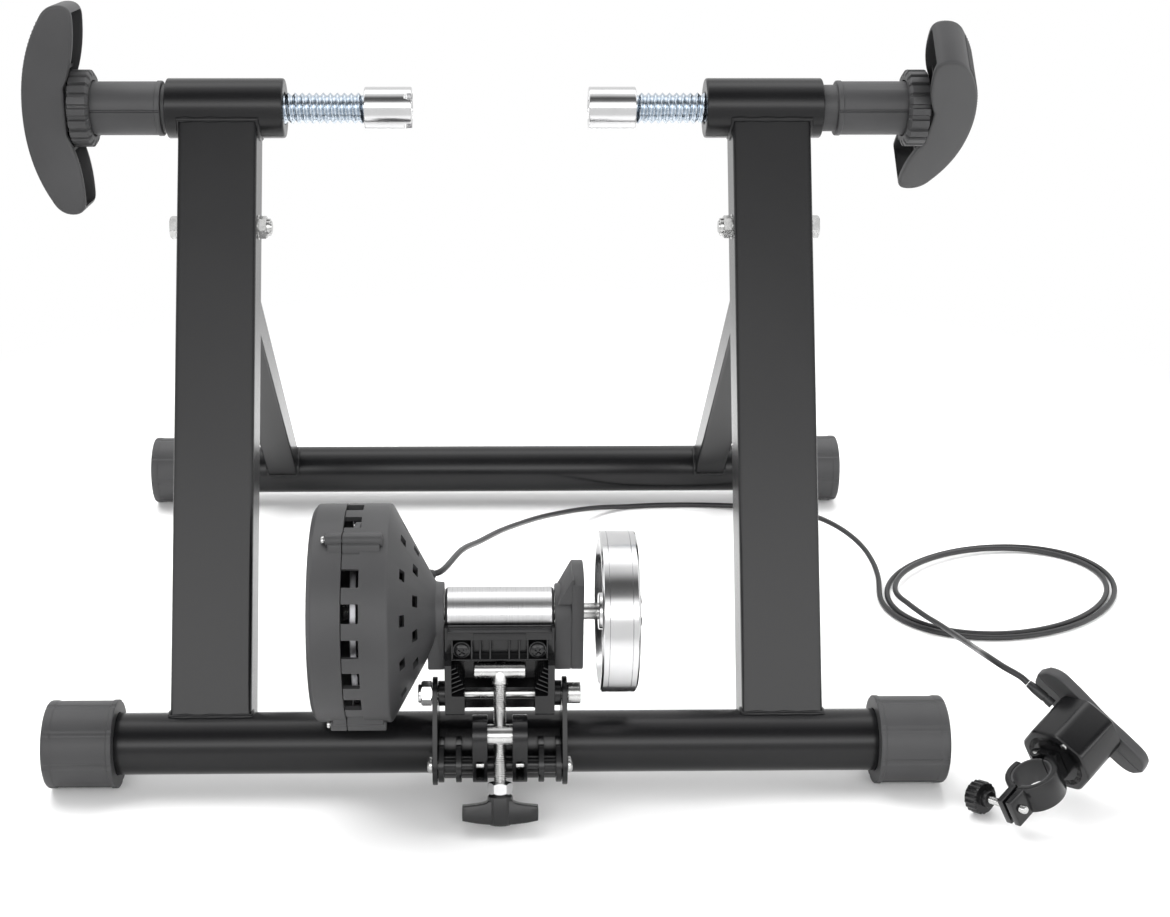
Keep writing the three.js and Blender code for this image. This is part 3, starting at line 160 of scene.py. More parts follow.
def noiseOf(nodes, links, scale, detail, stretch=(1, 1, 1)):
    where = nodes.new("ShaderNodeTexCoord")
    mapping = nodes.new("ShaderNodeMapping")
    mapping.inputs["Scale"].default_value = stretch
    noise = nodes.new("ShaderNodeTexNoise")
    noise.inputs["Scale"].default_value = scale
    noise.inputs["Detail"].default_value = detail
    links.new(where.outputs["Object"], mapping.inputs["Vector"])
    links.new(mapping.outputs["Vector"], noise.inputs["Vector"])
    return noise


def varyColour(nodes, links, shader, noise, look, edge):
    ramp = nodes.new("ShaderNodeValToRGB")
    first, last = ramp.color_ramp.elements
    first.position, last.position = edge, 1 - edge
    first.color, last.color = (*look["dark"], 1), (*look["light"], 1)
    links.new(noise.outputs["Fac"], ramp.inputs["Fac"])
    links.new(ramp.outputs["Color"], shader.inputs["Base Color"])


def varyRoughness(nodes, links, shader, noise, look):
    spread = nodes.new("ShaderNodeMapRange")
    spread.inputs["To Min"].default_value, spread.inputs["To Max"].default_value = look["rough"]
    links.new(noise.outputs["Fac"], spread.inputs["Value"])
    links.new(spread.outputs["Result"], shader.inputs["Roughness"])


def addBump(nodes, links, shader, noise, look):
    bump = nodes.new("ShaderNodeBump")
    bump.inputs["Strength"].default_value, bump.inputs["Distance"].default_value = look["bump"]
    links.new(noise.outputs["Fac"], bump.inputs["Height"])
    links.new(bump.outputs["Normal"], shader.inputs["Normal"])


# Paint and plastic: a soft cloud in the colour and gloss, and a fine grain in the surface
def makeCoat(look):
    flat = look.get("flat", look["light"])
    material, nodes, links, shader = newMaterial(look["name"], flat, look["flatRough"], shine=look["shine"])
    cloud = noiseOf(nodes, links, *look["cloud"])
    varyColour(nodes, links, shader, cloud, look, 0.3)
    varyRoughness(nodes, links, shader, cloud, look)
    addBump(nodes, links, shader, noiseOf(nodes, links, *look["grain"]), look)
    return material


# Metal: one brushed noise for colour, gloss and surface
def makeMetal(look):
    material, nodes, links, shader = newMaterial(look["name"], look["light"], look["rough"][0], metallic=1.0)
    brush = noiseOf(nodes, links, *look["brush"], look.get("stretch", (1, 1, 1)))
    varyColour(nodes, links, shader, brush, look, 0.25)
    varyRoughness(nodes, links, shader, brush, look)
    if "bump" in look:
        addBump(nodes, links, shader, brush, look)
    return material


looks = {key: (makeCoat(look), look["slot"]) for key, look in coats.items()}
looks.update({key: (makeMetal(look), look["slot"]) for key, look in metals.items()})
print("materials made")


# Outlines
# Corners are (a, b) or (a, b, radius); the ones with a radius are eased.
def rounded(corners, steps=4):
    points = []
    count = len(corners)
    for i, corner in enumerate(corners):
        here = Vector(corner[:2])
        radius = corner[2] if len(corner) > 2 else 0
        if not radius:
            points.append(tuple(here))
            continue
        before = Vector(corners[i - 1][:2]) - here
        after = Vector(corners[(i + 1) % count][:2]) - here
        angle = before.angle(after)
        reach = min(radius / math.tan(angle / 2), before.length * 0.49, after.length * 0.49)
        start, end = here + before.normalized() * reach, here + after.normalized() * reach
        for k in range(steps + 1):
            t = k / steps
            points.append(tuple(start * (1 - t) ** 2 + here * 2 * t * (1 - t) + end * t ** 2))
    return points


# Points from one angle to another, in degrees, both ends included.
def arc(radius, start, end, steps, y=0, z=0):
    angles = (math.radians(start + (end - start) * k / steps) for k in range(steps + 1))
    return [(y + radius * math.cos(angle), z + radius * math.sin(angle)) for angle in angles]


# A curve from a to b, drawn towards control; b itself is left to the next stretch.
def bend(a, control, b, steps=8):
    return [tuple(Vector(a) * (1 - t) ** 2 + Vector(control) * 2 * t * (1 - t) + Vector(b) * t ** 2)
            for t in (k / steps for k in range(steps))]


# The outline of a belt drawn tight round (y, z, radius) circles, listed anticlockwise.
def belt(circles, steps=10):
    outline = []

    def leaving(a, b):
        lean = math.asin((a[2] - b[2]) / math.hypot(b[0] - a[0], b[1] - a[1]))
        return math.atan2(b[1] - a[1], b[0] - a[0]) - math.pi / 2 + lean

    for i, (y, z, radius) in enumerate(circles):
        start = leaving(circles[i - 1], circles[i])
        end = leaving(circles[i], circles[(i + 1) % len(circles)])
        while end < start:
            end += 2 * math.pi
        outline += arc(radius, math.degrees(start), math.degrees(end), steps, y, z)
    return outline


# The same two distances on either side of the middle, low one first.
def onSide(sign, a, b):
    return sorted((sign * a, sign * b))


# Meshes
# Turns (x, radius) points about X; ripple(angle, x, radius) may change a radius.
def turned(profile, sides=96, closed=True, ripple=None):
    bm = bmesh.new()
    rings = []
    for x, radius in profile:
        if radius < 1e-5:
            rings.append([bm.verts.new((x, 0, 0))])
            continue
        ring = []
        for k in range(sides):
            angle = 2 * math.pi * k / sides
            r = ripple(angle, x, radius) if ripple else radius
            ring.append(bm.verts.new((x, r * math.sin(angle), r * math.cos(angle))))
        rings.append(ring)
    following = rings[1:] + rings[:1] if closed else rings[1:]
    for a, b in zip(rings, following):
        if len(a) == 1 and len(b) == 1:
            continue
        for k in range(sides):
            j = (k + 1) % sides
            corners = [a[k % len(a)], b[k % len(b)], b[j % len(b)], a[j % len(a)]]
            unique = list(dict.fromkeys(corners))
            if len(unique) > 2:
                bm.faces.new(unique)
    bmesh.ops.recalc_face_normals(bm, faces=bm.faces)
    return bm


# A solid turned from corners that start and end on the axis.
def solid(corners, sides=48, steps=3, ripple=None):
    return turned(rounded(corners, steps), sides, closed=False, ripple=ripple)


# A round bar along X with eased ends.
def rod(radius, low, high, sides=48, ease=0.4):
    return solid([(low, 0), (low, radius, ease), (high, radius, ease), (high, 0)], sides, 4)


def pipe(outer, inner, low, high, sides=96, ease=0.6):
    corners = [(low, inner, ease), (low, outer, ease), (high, outer, ease), (high, inner, ease)]
    return turned(rounded(corners), sides)


# An outline of (y, z) points given thickness along X.
def plate(outline, low, high, bevel=0.0, segments=2):
    bm = bmesh.new()
    face = bm.faces.new([bm.verts.new((low, y, z)) for y, z in outline])
    grown = bmesh.ops.extrude_face_region(bm, geom=[face])
    far = [v for v in grown["geom"] if isinstance(v, bmesh.types.BMVert)]
    bmesh.ops.translate(bm, verts=far, vec=(high - low, 0, 0))
    bmesh.ops.recalc_face_normals(bm, faces=bm.faces)
    if bevel:
        rims = [e for e in bm.edges if abs(e.verts[0].co.x - e.verts[1].co.x) < 1e-6]
        bmesh.ops.bevel(bm, geom=rims, offset=bevel, segments=segments, profile=0.6, affect="EDGES")
    return bm


# A box from three (low, high) pairs.
def block(x, y, z, bevel=0.0, segments=2):
    bm = bmesh.new()
    bmesh.ops.create_cube(bm, size=1)
    size = Vector((x[1] - x[0], y[1] - y[0], z[1] - z[0]))
    middle = Vector(((x[0] + x[1]) / 2, (y[0] + y[1]) / 2, (z[0] + z[1]) / 2))
    bm.transform(Matrix.Translation(middle) @ Matrix.Diagonal((*size, 1)))
    if bevel:
        bmesh.ops.bevel(bm, geom=list(bm.edges), offset=bevel, segments=segments, profile=0.6, affect="EDGES")
    return bm


def moved(bm, *steps):
    for step in steps:
        bm.transform(step)
    return bm


def shift(x=0, y=0, z=0):
    return Matrix.Translation((x, y, z))


def spun(degrees, axis="X"):
    return Matrix.Rotation(math.radians(degrees), 4, axis)


# Stands a mesh that runs along X up along Z, its Y turned to X
standing = Matrix(((0, 1, 0, 0), (0, 0, 1, 0), (1, 0, 0, 0), (0, 0, 0, 1)))


def mirrored(bm, sign, *steps):
    moved(bm, Matrix.Diagonal((sign, 1, 1, 1)), *steps)
    bmesh.ops.recalc_face_normals(bm, faces=bm.faces)
    return bm


# Meshes put in one, without a boolean.
def together(*parts):
    whole = bmesh.new()
    for bm in parts:
        mesh = bpy.data.meshes.new("scrap")
        bm.to_mesh(mesh)
        bm.free()
        whole.from_mesh(mesh)
        bpy.data.meshes.remove(mesh)
    return whole


def asObject(bm, name="scrap"):
    mesh = bpy.data.meshes.new(name)
    bm.to_mesh(mesh)
    bm.free()
    obj = bpy.data.objects.new(name, mesh)
    bpy.context.scene.collection.objects.link(obj)
    return obj


# The mesh after each (operation, other mesh) in turn.
def combined(bm, steps):
    obj = asObject(bm)
    scraps = [obj]
    for operation, tool in steps:
        scraps.append(asObject(tool))
        modifier = obj.modifiers.new("step", "BOOLEAN")
        modifier.operation = operation
        modifier.solver = "EXACT"
        modifier.object = scraps[-1]
    bpy.context.view_layer.update()
    done = bpy.data.meshes.new_from_object(obj.evaluated_get(bpy.context.evaluated_depsgraph_get()))
    result = bmesh.new()
    result.from_mesh(done)
    for scrap in scraps:
        mesh = scrap.data
        bpy.data.objects.remove(scrap)
        bpy.data.meshes.remove(mesh)
    bpy.data.meshes.remove(done)
    return result


# The mesh with others joined to it and then cut from it.
def carved(bm, cuts=(), adds=()):
    return combined(bm, [("UNION", tool) for tool in adds] + [("DIFFERENCE", tool) for tool in cuts])


# A drill along X through everything at (y, z).
def drill(radius, y, z, sides=32, half=60):
    return moved(rod(radius, -half, half, sides, 0), shift(0, y, z))


# The cross in a screw's head, cut along X.
def crossRecess(low, high, width, reach):
    thin, wide = (-width, width), (-reach, reach)
    return [block((low, high), thin, wide), block((low, high), wide, thin)]


# A hexagon nut or head along X, its corners taken off by a cone.
def hexagon(acrossFlats, low, high, chamfer=0.8):
    radius = acrossFlats / math.sqrt(3)
    wide, narrow = radius + 0.1, radius - chamfer
    cone = turned([(low, 0), (low, narrow), (low + chamfer, wide), (high - chamfer, wide), (high, narrow),
                   (high, 0)], 48, closed=False)
    return combined(plate(arc(radius, 0, 300, 5), low, high), [("INTERSECT", cone)])


# A rod with a helical thread along X.
def threaded(core, crest, pitch, low, high, sides=48, rows=8):
    count = max(2, round((high - low) / pitch * rows))

    def winding(angle, x, radius):
        if x <= low or x >= high:
            return core
        share = (x / pitch - angle / (2 * math.pi)) % 1
        return core + (crest - core) * max(0, 1 - abs(share - 0.5) * 2.6) ** 0.8
    profile = [(low, 0)] + [(low + (high - low) * k / count, core) for k in range(count + 1)] + [(high, 0)]
    return turned(profile, sides, closed=False, ripple=winding)


def dress(obj, look, sharp):
    obj.data.materials.append(looks[look][0])
    obj.data.shade_smooth()
    obj.data.set_sharp_from_angle(angle=math.radians(sharp))


# Places a piece that stands for the named node, or rides with a node given as (node,).
def addPiece(name, bm, look, node, sharp=35):
    bm.transform(toFrame)
    obj = asObject(bm, name)
    dress(obj, look, sharp)
    if isinstance(node, tuple):
        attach(obj, bodyOf[node[0]])
    else:
        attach(obj, bodyOf[node])
        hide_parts(node)


sideList = (("left", -1), ("right", 1))

# Cable: the route repeats the part's own points, and the loops its formula
cable = {
    "radius": 2.0, "loopTurns": 2, "stepsPerTurn": 24, "loopCentre": (380, 249, 2.2), "loopLong": 97,
    "loopShort": 72, "loopSkew": 25, "loopSpacing": 5.8, "loopStart": 160, "loopClimb": 4.8, "climbSteps": 9,
    "glandCircle": 34, "glandAngle": 11, "glandLength": 7, "seatGap": 0.3, "bendReach": (90, 90, -30),
    "runPoints": [
        (-23, 93, 113), (-11.5, 150, 92), (2.3, 208, 72), (17.5, 263, 52), (33.7, 309, 35.5),
        (50.7, 347, 21.5), (68, 374, 12), (86, 391, 6), (107, 400, 2.6), (128, 403, 2.2), (150, 404, 2.2),
        (172, 403.5, 2.2), (202.3, 396.7, 4.2), (224.7, 379.5, 10.4), (246.2, 362.7, 14),
        (263.8, 346.4, 14.2), (277, 328.4, 12.6), (286, 308.6, 10.2), (290.6, 287, 7.4), (291.2, 266, 4.8),
    ],
    "tailPoints": [
        (304, 211, 8.8), (310.6, 190, 10.8), (316.6, 172, 13.4), (320.9, 150, 18), (322.8, 126, 25),
        (321.8, 102, 34), (317.3, 78, 45.5), (312.3, 55, 57), (308.6, 38, 65.5), (309.3, 25, 69.5),
        (315, 15, 69),
    ],
}
# The roller's middle, and the drum, whose gland the cable leaves
unit = {"x": 1.5, "y": 0, "z": 117.5}
drum = {
    "radius": 65.5, "wall": 3, "slopeWall": 3.6, "coverX": -111, "coverRim": 65.2, "coverEase": 3.5,
    "seam": -90, "shoulder": -63, "neckX": -38, "neckRadius": 18, "hubRadius": 16.5, "hubEnd": -66,
    "bore": 13, "vents": 20, "ventLength": 10, "ventWidth": 11, "slopeVents": 12, "slopeVentRows": (52, 39),
    "slopeVentHalf": (8, 3.4, 2.4), "slopeTurn": 8, "glandRadii": (4.2, 3.4, 2.9),
    "lugRadius": 4, "lugReach": 66.6, "lugStart": -100, "lugEnd": -67, "lugAngles": (23.8, 143.8, 263.8),
    "screwHead": 2.4, "screwShank": 1.6, "screwBore": 1.9, "coverGap": 0.3,
}
drumSlope = (drum["radius"] - drum["neckRadius"]) / (drum["neckX"] - drum["shoulder"])
# The remote's place, and the ferrule that the cable ends in
remote = {
    "at": (349.6, -25.38, 38.95), "axis": (0.71, 0.61, 0.355), "up": (-0.504, -0.068, 0.866),
    "ferruleX": 12, "ferruleAngle": 46, "ferruleFoot": 23.3, "ferruleLength": 19, "ferruleRadius": 3,
}


def remoteFrame():
    along = Vector(remote["axis"]).normalized()
    across = Vector(remote["up"]).cross(along).normalized()
    turn = Matrix((along, across, along.cross(across))).transposed().to_4x4()
    return Matrix.Translation(Vector(remote["at"])) @ turn


def alongFerrule(distance):
    angle = math.radians(remote["ferruleAngle"])
    return Vector((remote["ferruleX"], math.cos(angle) * distance, math.sin(angle) * distance))


# Where the gland stands on the drum's slope, and the way that it points.
def glandSeat():
    turn = math.radians(cable["glandAngle"])
    outward = Vector((0, math.cos(turn), math.sin(turn)))
    foot = outward * cable["glandCircle"]
    foot.x = drum["neckX"] - (cable["glandCircle"] - drum["neckRadius"]) / drumSlope
    return foot, (outward + Vector((drumSlope, 0, 0))).normalized()


def cableRoute():
    foot, normal = glandSeat()
    foot += Vector((unit["x"], unit["y"], unit["z"]))
    leads = (cable["seatGap"], 2 * cable["radius"])
    points = [foot + normal * (cable["glandLength"] + lead) for lead in leads]
    points += [Vector(p) for p in cable["runPoints"]]
    steps = cable["loopTurns"] * cable["stepsPerTurn"]
    skew = Matrix.Rotation(math.radians(cable["loopSkew"]), 3, "Z")
    for step in range(steps + 1):
        turns = step / cable["stepsPerTurn"]
        angle = math.radians(cable["loopStart"]) + 2 * math.pi * turns
        climb = max(0, (step - steps + cable["climbSteps"]) / cable["climbSteps"])
        draw = cable["loopSpacing"] * turns
        across = (cable["loopLong"] - draw) * math.cos(angle)
        along = (cable["loopShort"] - draw) * math.sin(angle)
        where = Vector((across, along, cable["loopClimb"] * climb))
        points.append(skew @ where + Vector(cable["loopCentre"]))
    points += [Vector(p) for p in cable["tailPoints"]]
    end = remote["ferruleFoot"] + remote["ferruleLength"]
    for lead in (2 * remote["ferruleRadius"], cable["seatGap"]):
        points.append(remoteFrame() @ alongFerrule(end + lead))
    return points


# A smooth line through the points, the same curve as the part's.
def centripetal(points, perSpan=6):
    ends = [points[0] * 2 - points[1]] + points + [points[-1] * 2 - points[-2]]
    line = []
    for i in range(1, len(ends) - 2):
        p0, p1, p2, p3 = ends[i - 1:i + 3]
        t0, t1, t2 = ((b - a).length ** 0.5 for a, b in ((p0, p1), (p1, p2), (p2, p3)))
        m1 = ((p1 - p0) / t0 - (p2 - p0) / (t0 + t1) + (p2 - p1) / t1) * t1
        m2 = ((p2 - p1) / t1 - (p3 - p1) / (t1 + t2) + (p3 - p2) / t2) * t1
        for k in range(perSpan):
            t = k / perSpan
            line.append(p1 * (2 * t ** 3 - 3 * t ** 2 + 1) + m1 * (t ** 3 - 2 * t ** 2 + t)
                        + p2 * (3 * t ** 2 - 2 * t ** 3) + m2 * (t ** 3 - t ** 2))
    return line + [points[-1]]


def addCable():
    line = [toFrame @ p for p in centripetal(cableRoute())]
    data = bpy.data.curves.new("leverCable", "CURVE")
    data.dimensions = "3D"
    data.bevel_depth = cable["radius"] * mm
    data.bevel_resolution = 5
    data.use_fill_caps = True
    spline = data.splines.new("POLY")
    spline.points.add(len(line) - 1)
    for point, where in zip(spline.points, line):
        point.co = (*where, 1)
    core = bpy.data.objects.new("cableCore", data)
    bpy.context.scene.collection.objects.link(core)
    bpy.context.view_layer.update()
    mesh = bpy.data.meshes.new_from_object(core.evaluated_get(bpy.context.evaluated_depsgraph_get()))
    bpy.data.objects.remove(core)
    obj = bpy.data.objects.new("leverCable", mesh)
    bpy.context.scene.collection.objects.link(obj)
    dress(obj, "cable", 50)
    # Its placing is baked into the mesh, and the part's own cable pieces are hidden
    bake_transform(obj)
    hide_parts("cable_run", "cable_loops", "cable_tail")


addCable()


# Base tubes and foot caps
base = {
    "radius": 19, "height": 26.5, "frontHalf": 271.4, "rearHalf": 278.4, "stance": 425, "fit": 0.05,
    "capRadius": 27.2, "capLength": 43, "capEnd": 5.2, "capGap": 0.3, "capEase": 3.2, "bore": 19.3,
    "capGrooves": 4, "grooveWidth": 2.2, "grooveDepth": 0.7, "lipLength": 3, "skinStep": 0.6, "endStep": 0.2,
}


# Shallow lengthways grooves on the cap's skin.
def capRipple(angle, x, radius):
    if radius < base["capRadius"] - 1:
        return radius
    pitch = 2 * math.pi / (base["capGrooves"] * 2)
    off = abs((angle + pitch / 2) % pitch - pitch / 2) * radius
    return radius - base["grooveDepth"] if off < base["grooveWidth"] / 2 else radius


def addBase(prefix, half, y):
    tube = rod(base["radius"], -half, half, 128, 0.5)
    addPiece(prefix + "BaseTube", moved(tube, shift(0, y, base["height"])), "paint", prefix + "_base_tube")
    outer = half + base["capGap"] + base["capEnd"]
    inner, wall = outer - base["capLength"], outer - base["capEnd"]
    lip, ease, bore, crest = inner + base["lipLength"], base["capEase"], base["bore"], base["capRadius"]
    skin, end = crest - base["skinStep"], crest - base["endStep"]
    corners = [
        (inner, bore, 0.4), (inner, crest, 0.8), (lip, crest, 0.3), (lip + 0.4, skin, 0.2),
        (outer - ease * 2, skin, 0.5), (outer - ease * 1.6, end, 0.4), (outer, end, ease), (outer, 0),
        (wall, 0), (wall, bore),
    ]
    for side, sign in sideList:
        cap = turned(rounded(corners, 5), 160, ripple=capRipple)
        cap = mirrored(cap, sign, shift(0, y, base["height"]))
        cap = carved(cap, [block((-400, 400), (y - 60, y + 60), (-30, 0))])
        addPiece(prefix + side.capitalize() + "Cap", cap, "mould", f"{prefix}_{side}_foot_cap")


addBase("front", base["frontHalf"], 0)
addBase("rear", base["rearHalf"], base["stance"])
print("base tubes and caps")

# Uprights: open channels, welded to the tube below and the sleeve above
upright = {
    "x": 176.5, "width": 50, "depth": 30, "wall": 2, "corner": 3.5, "footSetback": 5.75, "sleeveRadius": 19,
    "axleY": 196.8, "axleZ": 379, "pivotZ": 310.5, "beadRadius": 1.7, "beadSides": 10,
    "beadWaves": ((0.18, 1.9), (0.08, 4.7)),
}
# Fold bolts: a hexagon head outside, a lock nut with its collar inside
foldBolt = {
    "radius": 4, "hole": 4.3, "gap": 0.3, "flats": 13, "headLength": 5.5, "nutLength": 7.2, "tail": 8.5,
    "collar": 5.6, "bore": 4.1, "washer": 8, "washerLength": 0.25,
}
rearLeg = {"width": 24, "wall": 2, "corner": 2.5, "innerCorner": 1, "bush": 8, "bushHalf": 22.7}
run = math.hypot(upright["axleY"], upright["axleZ"] - base["height"])
footY = upright["footSetback"] * (upright["axleZ"] - base["height"]) / run
footZ = base["height"] - upright["footSetback"] * upright["axleY"] / run
uprightLean = math.atan2(upright["axleY"] - footY, upright["axleZ"] - footZ)
uprightLength = math.hypot(upright["axleY"] - footY, upright["axleZ"] - footZ)
pivotY = footY + (upright["pivotZ"] - footZ) * math.tan(uprightLean)
legRun = Vector((0, base["stance"] - pivotY, base["height"] - upright["pivotZ"]))
legLean = math.atan2(legRun.y, legRun.z)


# An outline of (x, y) points given height along Z.
def zPrism(outline, low, high):
    return moved(plate(outline, low, high), standing)


# A bead where a leg's outline meets a round tube; way says on which side of the tube the leg is.
def weldBead(name, outline, tubeAt, radius, lean, startAt, node, way=-1, steps=10):
    ahead = Vector((0, math.sin(lean), math.cos(lean)))
    aside = Vector((0, math.cos(lean), -math.sin(lean)))
    points = []
    for i, (x, y) in enumerate(outline):
        nextX, nextY = outline[(i + 1) % len(outline)]
        for k in range(steps):
            start = Vector((x + (nextX - x) * k / steps, *startAt)) + aside * (y + (nextY - y) * k / steps)
            gap = Vector((0, start.y - tubeAt[0], start.z - tubeAt[1]))
            b = gap.dot(ahead)
            inside = b * b - gap.length_squared + radius ** 2
            if inside > 0:
                points.append(start + ahead * (math.copysign(math.sqrt(inside), way) - b))
    bm = bmesh.new()
    sides, count = upright["beadSides"], len(points)
    rings = []
    for i, point in enumerate(points):
        onward = (points[(i + 1) % count] - points[i - 1]).normalized()
        out = Vector((0, point.y - tubeAt[0], point.z - tubeAt[1])).normalized()
        across = onward.cross(out).normalized()
        wave = sum(height * math.sin(i * rate) for height, rate in upright["beadWaves"])
        size = upright["beadRadius"] * (1 + wave)
        rings.append([bm.verts.new(point + (out * math.cos(a) + across * math.sin(a)) * size)
                      for a in (2 * math.pi * k / sides for k in range(sides))])
    for i in range(count):
        a, b = rings[i], rings[(i + 1) % count]
        for k in range(sides):
            bm.faces.new((a[k], a[(k + 1) % sides], b[(k + 1) % sides], b[k]))
    bmesh.ops.recalc_face_normals(bm, faces=bm.faces)
    addPiece(name, bm, "paint", (node,), 60)


def addUpright(side, sign):
    middle = sign * upright["x"]
    halfW, halfD, wall = upright["width"] / 2, upright["depth"] / 2, upright["wall"]
    inW, inD, corner = halfW - wall, halfD - wall, upright["corner"]
    channel = rounded([
        (-halfW, halfD, 0.6), (-halfW, -halfD, corner), (halfW, -halfD, corner), (halfW, halfD, 0.6),
        (inW, halfD, 0.6), (inW, -inD, corner - wall), (-inW, -inD, corner - wall), (-inW, halfD, 0.6),
    ], 6)
    axleAt, footAt, tubeAt = (upright["axleY"], upright["axleZ"]), (footY, footZ), (0, base["height"])
    bm = moved(zPrism(channel, 0, uprightLength), Matrix.Rotation(-uprightLean, 4, "X"), shift(0, *footAt))
    cuts = [
        drill(base["radius"] + base["fit"], *tubeAt, 128),
        drill(upright["sleeveRadius"] + base["fit"], *axleAt, 128),
        drill(foldBolt["hole"], pivotY, upright["pivotZ"]),
    ]
    addPiece(side + "Upright", moved(carved(bm, cuts), shift(middle)), "paint", side + "_upright", 40)
    low, high = middle - halfW, middle + halfW
    outer = [(low, halfD), (low, -halfD), (high, -halfD), (high, halfD)]
    weldBead(side + "FootWeld", outer, tubeAt, base["radius"], uprightLean, footAt, side + "_upright", 1)
    weldBead(side + "HeadWeld", outer, axleAt, upright["sleeveRadius"], uprightLean, footAt,
             side + "_clamp_sleeve")


# The outline of a square bar with eased corners.
def square(half, corner, steps):
    around = ((-half, -half), (half, -half), (half, half), (-half, half))
    return rounded([(x, y, corner) for x, y in around], steps)


def addRearLeg(side, sign):
    middle, half = sign * upright["x"], rearLeg["width"] / 2
    stem = zPrism(square(half, rearLeg["corner"], 5), 0, legRun.length)
    hollow = zPrism(square(half - rearLeg["wall"], rearLeg["innerCorner"], 3), half * 2, legRun.length + 5)
    bush = rod(rearLeg["bush"], -rearLeg["bushHalf"], rearLeg["bushHalf"], 48, 0.3)
    leg = carved(stem, [hollow], [rod(half, -half, half, 64, 1.2), bush])
    pivotAt, tubeAt = (pivotY, upright["pivotZ"]), (base["stance"], base["height"])
    leg = moved(leg, Matrix.Rotation(-legLean, 4, "X"), shift(0, *pivotAt))
    leg = carved(leg, [drill(base["radius"] + base["fit"], *tubeAt, 128), drill(foldBolt["hole"], *pivotAt)])
    addPiece(side + "RearLeg", moved(leg, shift(middle)), "paint", side + "_rear_leg", 40)
    low, high = middle - half, middle + half
    outline = [(low, -half), (high, -half), (high, half), (low, half)]
    weldBead(side + "RearWeld", outline, tubeAt, base["radius"], legLean, pivotAt, side + "_rear_leg",
             steps=12)


def addFoldBolt(side, sign):
    f = foldBolt
    reach = upright["width"] / 2 + f["gap"]
    outerX, innerX = upright["x"] + reach, upright["x"] - reach
    nutX = innerX - f["nutLength"]
    parts = [
        rod(f["radius"], innerX - f["tail"], outerX + 1, 32, 0.6),
        hexagon(f["flats"], outerX, outerX + f["headLength"]), hexagon(f["flats"], nutX + 2, innerX),
        pipe(f["collar"], f["bore"], nutX - 0.4, nutX + 2.2, 48, 0.5),
        pipe(f["washer"], f["bore"], innerX, innerX + f["washerLength"], 48, 0.05),
    ]
    bm = mirrored(together(*parts), sign, shift(0, pivotY, upright["pivotZ"]))
    addPiece(side + "FoldBolt", bm, "steel", side + "_fold_bolt", 30)


for side, sign in sideList:
    addUpright(side, sign)
    addRearLeg(side, sign)
    addFoldBolt(side, sign)
print("uprights and rear legs")

# Clamps: sleeve, cup, screw, hub, lock ring and handle
clamp = {
    "sleeveInner": 135, "sleeveOuter": 210, "threadBore": 10.4, "counterbore": 15.3, "threadLength": 28,
    "cupFace": 53.5, "cupRadius": 13.6, "cupLength": 30.5, "cupBore": 8.6, "cupDepth": 12, "socketDepth": 7,
    "socketBore": 10.3, "notch": 2.6, "leftNotches": (45, 135, 225, 315), "rightNotches": (225,),
    "screwCore": 8.1, "screwCrest": 10, "pitch": 4.5, "screwEnd": 262, "hubInner": 212.8, "hubOuter": 268,
    "hubRadius": 17.5, "hubStep": 0.5, "neckRadius": 14.8, "neckLength": 23, "seamDepth": 0.8,
    "seamWidth": 1.4, "ringRadius": 24.4, "ringTeeth": 20, "toothDepth": 1.7, "ringInner": 257,
    "ringLength": 13, "ringBore": 17.8, "rightOffset": 6.5, "leftTurn": -4, "rightTurn": 40,
}
handle = {
    "span": 132, "width": 34, "outer": 300, "tipOuter": 281, "tipInner": 264, "middleInner": 272.4,
    "shell": 3.2, "tipRadius": 9, "boss": 15, "ridgePitch": 2.6, "ridgeRadius": 0.75, "ridgeReach": 57,
    "ridgeInset": 3.5, "ribs": (-38, -26, 26, 38), "ribHalf": 0.9, "ribLow": 272, "ribHigh": 290,
    "ribInset": 2,
}


# The handle's bowed outline, drawn smaller for its hollow.
def crescent(shrink):
    half = handle["span"] / 2 - shrink
    outer, tipOuter = handle["outer"] - shrink, handle["tipOuter"] - shrink
    deeper = 2 if shrink else 0
    tipInner, inner = handle["tipInner"] - deeper, handle["middleInner"] - deeper * 2
    tip, boss = handle["tipRadius"], handle["boss"]
    middle, rise = (tipInner + tipOuter) / 2, tipOuter + tip / 2
    return (bend((half - tip, tipInner), (half, tipInner), (half, middle))
            + bend((half, middle), (half, tipOuter), (half - tip, rise))
            + bend((half - tip, rise), (half / 2, outer), (0, outer), 14)
            + bend((0, outer), (-half / 2, outer), (tip - half, rise), 14)
            + bend((tip - half, rise), (-half, tipOuter), (-half, middle))
            + bend((-half, middle), (-half, tipInner), (tip - half, tipInner))
            + bend((tip - half, tipInner), (-half / 2, tipInner), (-boss, inner), 10)
            + [(-boss, inner)]
            + bend((boss, inner), (half / 2, tipInner), (half - tip, tipInner), 10))


